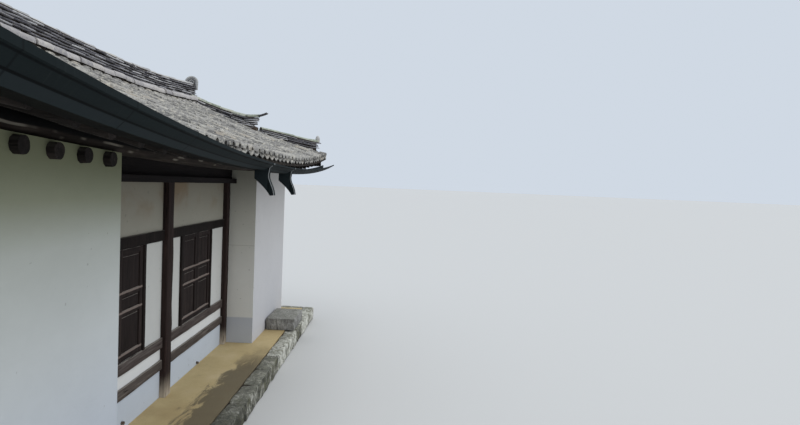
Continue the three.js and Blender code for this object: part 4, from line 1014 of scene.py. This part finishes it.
def bay(word, x0, x1, window_x):
    """The timbers of one bay: lower rail, sill and head rails with the jambs between them, and two leaves."""
    end = window_x + WINDOW_WIDTH
    front = FRONT_WALL_Y - RAIL_PROUD
    across = lambda heights: rail(x0, x1, front, FRONT_WALL_Y - 0.0005, *heights)
    assemble(f"{word}_bay_lower_timber", [across(LOWER_RAIL)], rail_wood,
             [f"{word}_bay_lower_rail"], smooth=50)
    jambs = [post(x, x + JAMB, front + 0.002, FRONT_WALL_Y + 0.09, SILL_RAIL[1] - 0.004, HEAD_RAIL[0] + 0.004,
                  0.006, 0.001) for x in (window_x, end - JAMB)]
    assemble(f"{word}_window_jambs", [across(HEAD_RAIL), *jambs], frame_wood,
             [f"{word}_window_frame"], smooth=50)
    assemble(f"{word}_window_sill", [across(SILL_RAIL)], sill_wood, smooth=50)
    meet = (window_x + end) / 2
    for leaf, sides in (("left", (window_x + JAMB + 0.001, meet - 0.001)),
                        ("right", (meet + 0.001, end - JAMB - 0.001))):
        assemble(f"{word}_window_{leaf}_shutter", leaf_parts(*sides, LEAF_FACE_Y, -1), shutter_wood,
                 [f"{word}_window_{leaf}_leaf"], smooth=50)


def posts():
    """The two posts of the recess."""
    y = FRONT_WALL_Y - POST_PROUD
    half, edge = POST / 2, RIGHT_WING_FACE_X - 0.001
    for word, x, end in (("middle", -half, half), ("right", BAY - half, edge)):
        part = post(x, end, y, y + POST, PLATFORM_TOP + 0.001, BEAM_BOTTOM - 0.001, 0.012, 0.002)
        assemble(f"{word}_post_timber", [part], post_wood, [f"{word}_post"], smooth=50)


def rear_timbers():
    """The rear wall's posts and rails on one plane, and its two double shutters."""
    near, far = REAR_WALL_Y + 0.0005, REAR_WALL_Y + RAIL_PROUD - 0.001
    step = BAY - POST / 4
    parts = [post(k * step - POST / 2, k * step + POST / 2, near, far + 0.001, PLATFORM_TOP + 0.001,
                  REAR_BEAM[1] - 0.01) for k in range(-2, 3)]
    for heights in (LOWER_RAIL, SILL_RAIL, HEAD_RAIL, REAR_BEAM):
        parts.append(rail(-2 * step, 2 * step, near, far, *heights))
    assemble("rear_wall_timbers", parts, frame_wood, ["rear_timber_frame"], smooth=50)
    for x, word in zip(REAR_WINDOW_X, ("left", "right")):
        end = x + WINDOW_WIDTH
        meet = x + WINDOW_WIDTH / 2
        parts = [post(side, side + JAMB, REAR_WALL_Y - 0.14, REAR_WALL_Y, SILL_RAIL[1], HEAD_RAIL[0], 0.006)
                 for side in (x, end - JAMB)]
        parts += leaf_parts(x + JAMB, meet - 0.001, REAR_LEAF_FACE_Y, 1)
        parts += leaf_parts(meet + 0.001, end - JAMB, REAR_LEAF_FACE_Y, 1)
        assemble(f"rear_{word}_shutters", parts, shutter_wood, [f"rear_{word}_window"],
                 smooth=50)


bay("left", LEFT_WING_FACE_X + 0.001, -POST / 2 - 0.001, WINDOW_X[0])
bay("right", POST / 2 + 0.001, BAY - POST / 2 - 0.001, WINDOW_X[1])
posts()
rear_timbers()


def rough_blocks(ends, across, up, turn=False, noise=0.008, edge=0.022, taper=0.1):
    """Split stones in a row: rounded boxes whose faces wander by sums of sines and which taper at both ends.
    across and up are the row's other sides, and turn swaps X and Y."""
    low, high = np.array(ends).T
    along = np.sin(np.linspace(-np.pi / 2, np.pi / 2, 13))
    half = np.array([across[1] - across[0], up[1] - up[0]]) / 2 - noise * 1.2
    profile = round_rect(*half, edge)
    corners = np.concatenate([profile, profile[:1]])
    section = np.concatenate([np.linspace(a, b, 4)[:-1] for a, b in zip(corners, corners[1:])])
    section = np.roll(section, 1, axis=0)
    shrink = (1 - taper * np.abs(along) ** 10)[:, None, None]
    size = (high - low)[:, None, None] / 2 - noise * 0.5
    run = along[None, :, None] * size
    sides = section * shrink
    local = stack(run, sides[..., 0], sides[..., 1])
    swell = np.zeros(local.shape[:3])
    for wave in range(7):
        direction = chance.normal(0, 1, (len(low), 1, 1, 3))
        phase = chance.uniform(0, 2 * np.pi, (len(low), 1, 1))
        swell += np.sin((local * direction).sum(-1) * (9 + 8 * wave) + phase) * noise / (1 + 0.5 * wave)
    sides = sides * (1 + (swell / half.min())[..., None] * 0.5)
    x = ((high + low) / 2)[:, None, None] + run + swell * 0.4
    y = (across[0] + across[1]) / 2 + sides[..., 0]
    z = np.maximum((up[0] + up[1]) / 2 + sides[..., 1], up[0] + 0.0005)
    return toned(stack(y, x, z) if turn else stack(x, y, z))


def stone_ends(start, end):
    """Stones of chance lengths that fill a row."""
    lengths = chance.uniform(*STONE_LENGTHS, round((end - start) / np.mean(STONE_LENGTHS)))
    marks = start + (end - start) * np.concatenate([[0], np.cumsum(lengths)]) / lengths.sum()
    return list(zip(marks[:-1], marks[1:]))


def kerb():
    """Edge stones round the platform, and the dark earth in their joints."""
    x, y = PLATFORM_HALF_X, PLATFORM_HALF_Y
    inner = y - KERB_WIDTH
    up = (0, PLATFORM_TOP)
    parts = [rough_blocks(stone_ends(-x, x), sorted((side * y, side * inner)), up) for side, _ in SIDES]
    parts += [rough_blocks(stone_ends(-inner, inner), sorted((hand * x, hand * (x - KERB_WIDTH))), up, True)
              for hand, _ in HANDS]
    assemble("kerb_stones", parts, kerb_stone, ["stone_kerb"], smooth=60)
    joint = 0.025
    up = (0.006, PLATFORM_TOP - joint)
    x, y, end = x - joint, y - joint, x - KERB_WIDTH
    parts = [rail(-x, x, *sorted((side * y, side * inner)), *up) for side, _ in SIDES]
    parts += [post(*sorted((hand * x, hand * end)), -inner, inner, *up) for hand, _ in HANDS]
    assemble("kerb_joints", parts, dark_clay)


def raised_stone():
    """The higher stone at the right end of the kerb."""
    up = (PLATFORM_TOP + 0.001, PLATFORM_TOP + 0.22)
    blocks = rough_blocks([(3.402, 4.298)], (-2.558, -2.022), up, noise=0.003, edge=0.01, taper=0.03)
    assemble("step_block", [blocks], step_stone, ["raised_stone"], smooth=60)


def clay_stubs():
    """Two short clay pipes at the foot of the recess wall."""
    ends = (FRONT_WALL_Y + 0.01, FRONT_WALL_Y - 0.03)
    parts = [carried(disc(0.018, 14), np.linspace(*((x, y, z) for y in ends), 3))
             for x, z in ((1.236, 0.303), (-1.069, 0.355))]
    assemble("clay_stubs", parts, brown_clay, smooth=50)


kerb()
raised_stone()
clay_stubs()
for finish, names in (
        (earth_finish(), "stylobate floor"),
        (wing_plaster, "left_wing_front_wall left_wing_side_wall left_end_wall"),
        (far_plaster, "right_wing_side_wall right_wing_front_wall right_end_wall"),
        (bay_plaster, "left_bay_wall right_bay_wall"),
        (plain_plaster, "rear_wall left_gable right_gable"),
        (beam_wood, "front_beam"),
        (hip_wood, "left_bargeboard right_bargeboard"),
        (gutter_finish(), "front_gutter_left front_gutter_middle front_gutter_right "
                          "rear_gutter_left rear_gutter_middle rear_gutter_right")):
    for name in names.split():
        for slot in NODES[name].material_slots:
            slot.material = finish


def ground():
    """A plain pale floor under the platform."""
    mesh = bpy.data.meshes.new("floor_plane")
    reach = 600
    corners = [(x * reach, y * reach, 0) for x, y in ((-1, -1), (1, -1), (1, 1), (-1, 1))]
    mesh.from_pydata(corners, [], [(0, 1, 2, 3)])
    mesh.materials.append(Finish("pale_floor").done((0.56, 0.56, 0.55), 0.95, specular=0.2))
    plane = add_object("floor_plane", mesh)


def light():
    """Soft even light from all round, and a wide soft light from high over the courtyard."""
    world = bpy.data.worlds.new("soft_sky")
    world.use_nodes = True
    sky = world.node_tree.nodes["Background"].inputs
    sky["Color"].default_value = (0.7, 0.77, 0.86, 1)
    sky["Strength"].default_value = 0.9
    scene.world = world
    high = bpy.data.lights.new("high_light", "SUN")
    high.energy = 1.8
    high.angle = math.radians(100)
    high.color = (1, 0.985, 0.96)
    holder = add_object("high_light", high)
    holder.rotation_euler = [math.radians(angle) for angle in (30, -8, 0)]


def camera():
    """The photograph's view, solved from the house's own straight lines."""
    data = bpy.data.cameras.new("view")
    data.sensor_width = 36
    data.lens = FOCAL / PHOTO_WIDTH * data.sensor_width
    data.clip_end = 2000
    pose = Matrix.Translation(EYE)
    for angle, axis in ((-90 - YAW, "Z"), (90 + PITCH, "X"), (ROLL, "Z")):
        pose = pose @ Matrix.Rotation(math.radians(angle), 4, axis)
    holder = add_object("view", data)
    holder.matrix_world = pose
    bpy.context.scene.camera = holder


ground()
light()
camera()
scene.view_settings.view_transform = "Standard"
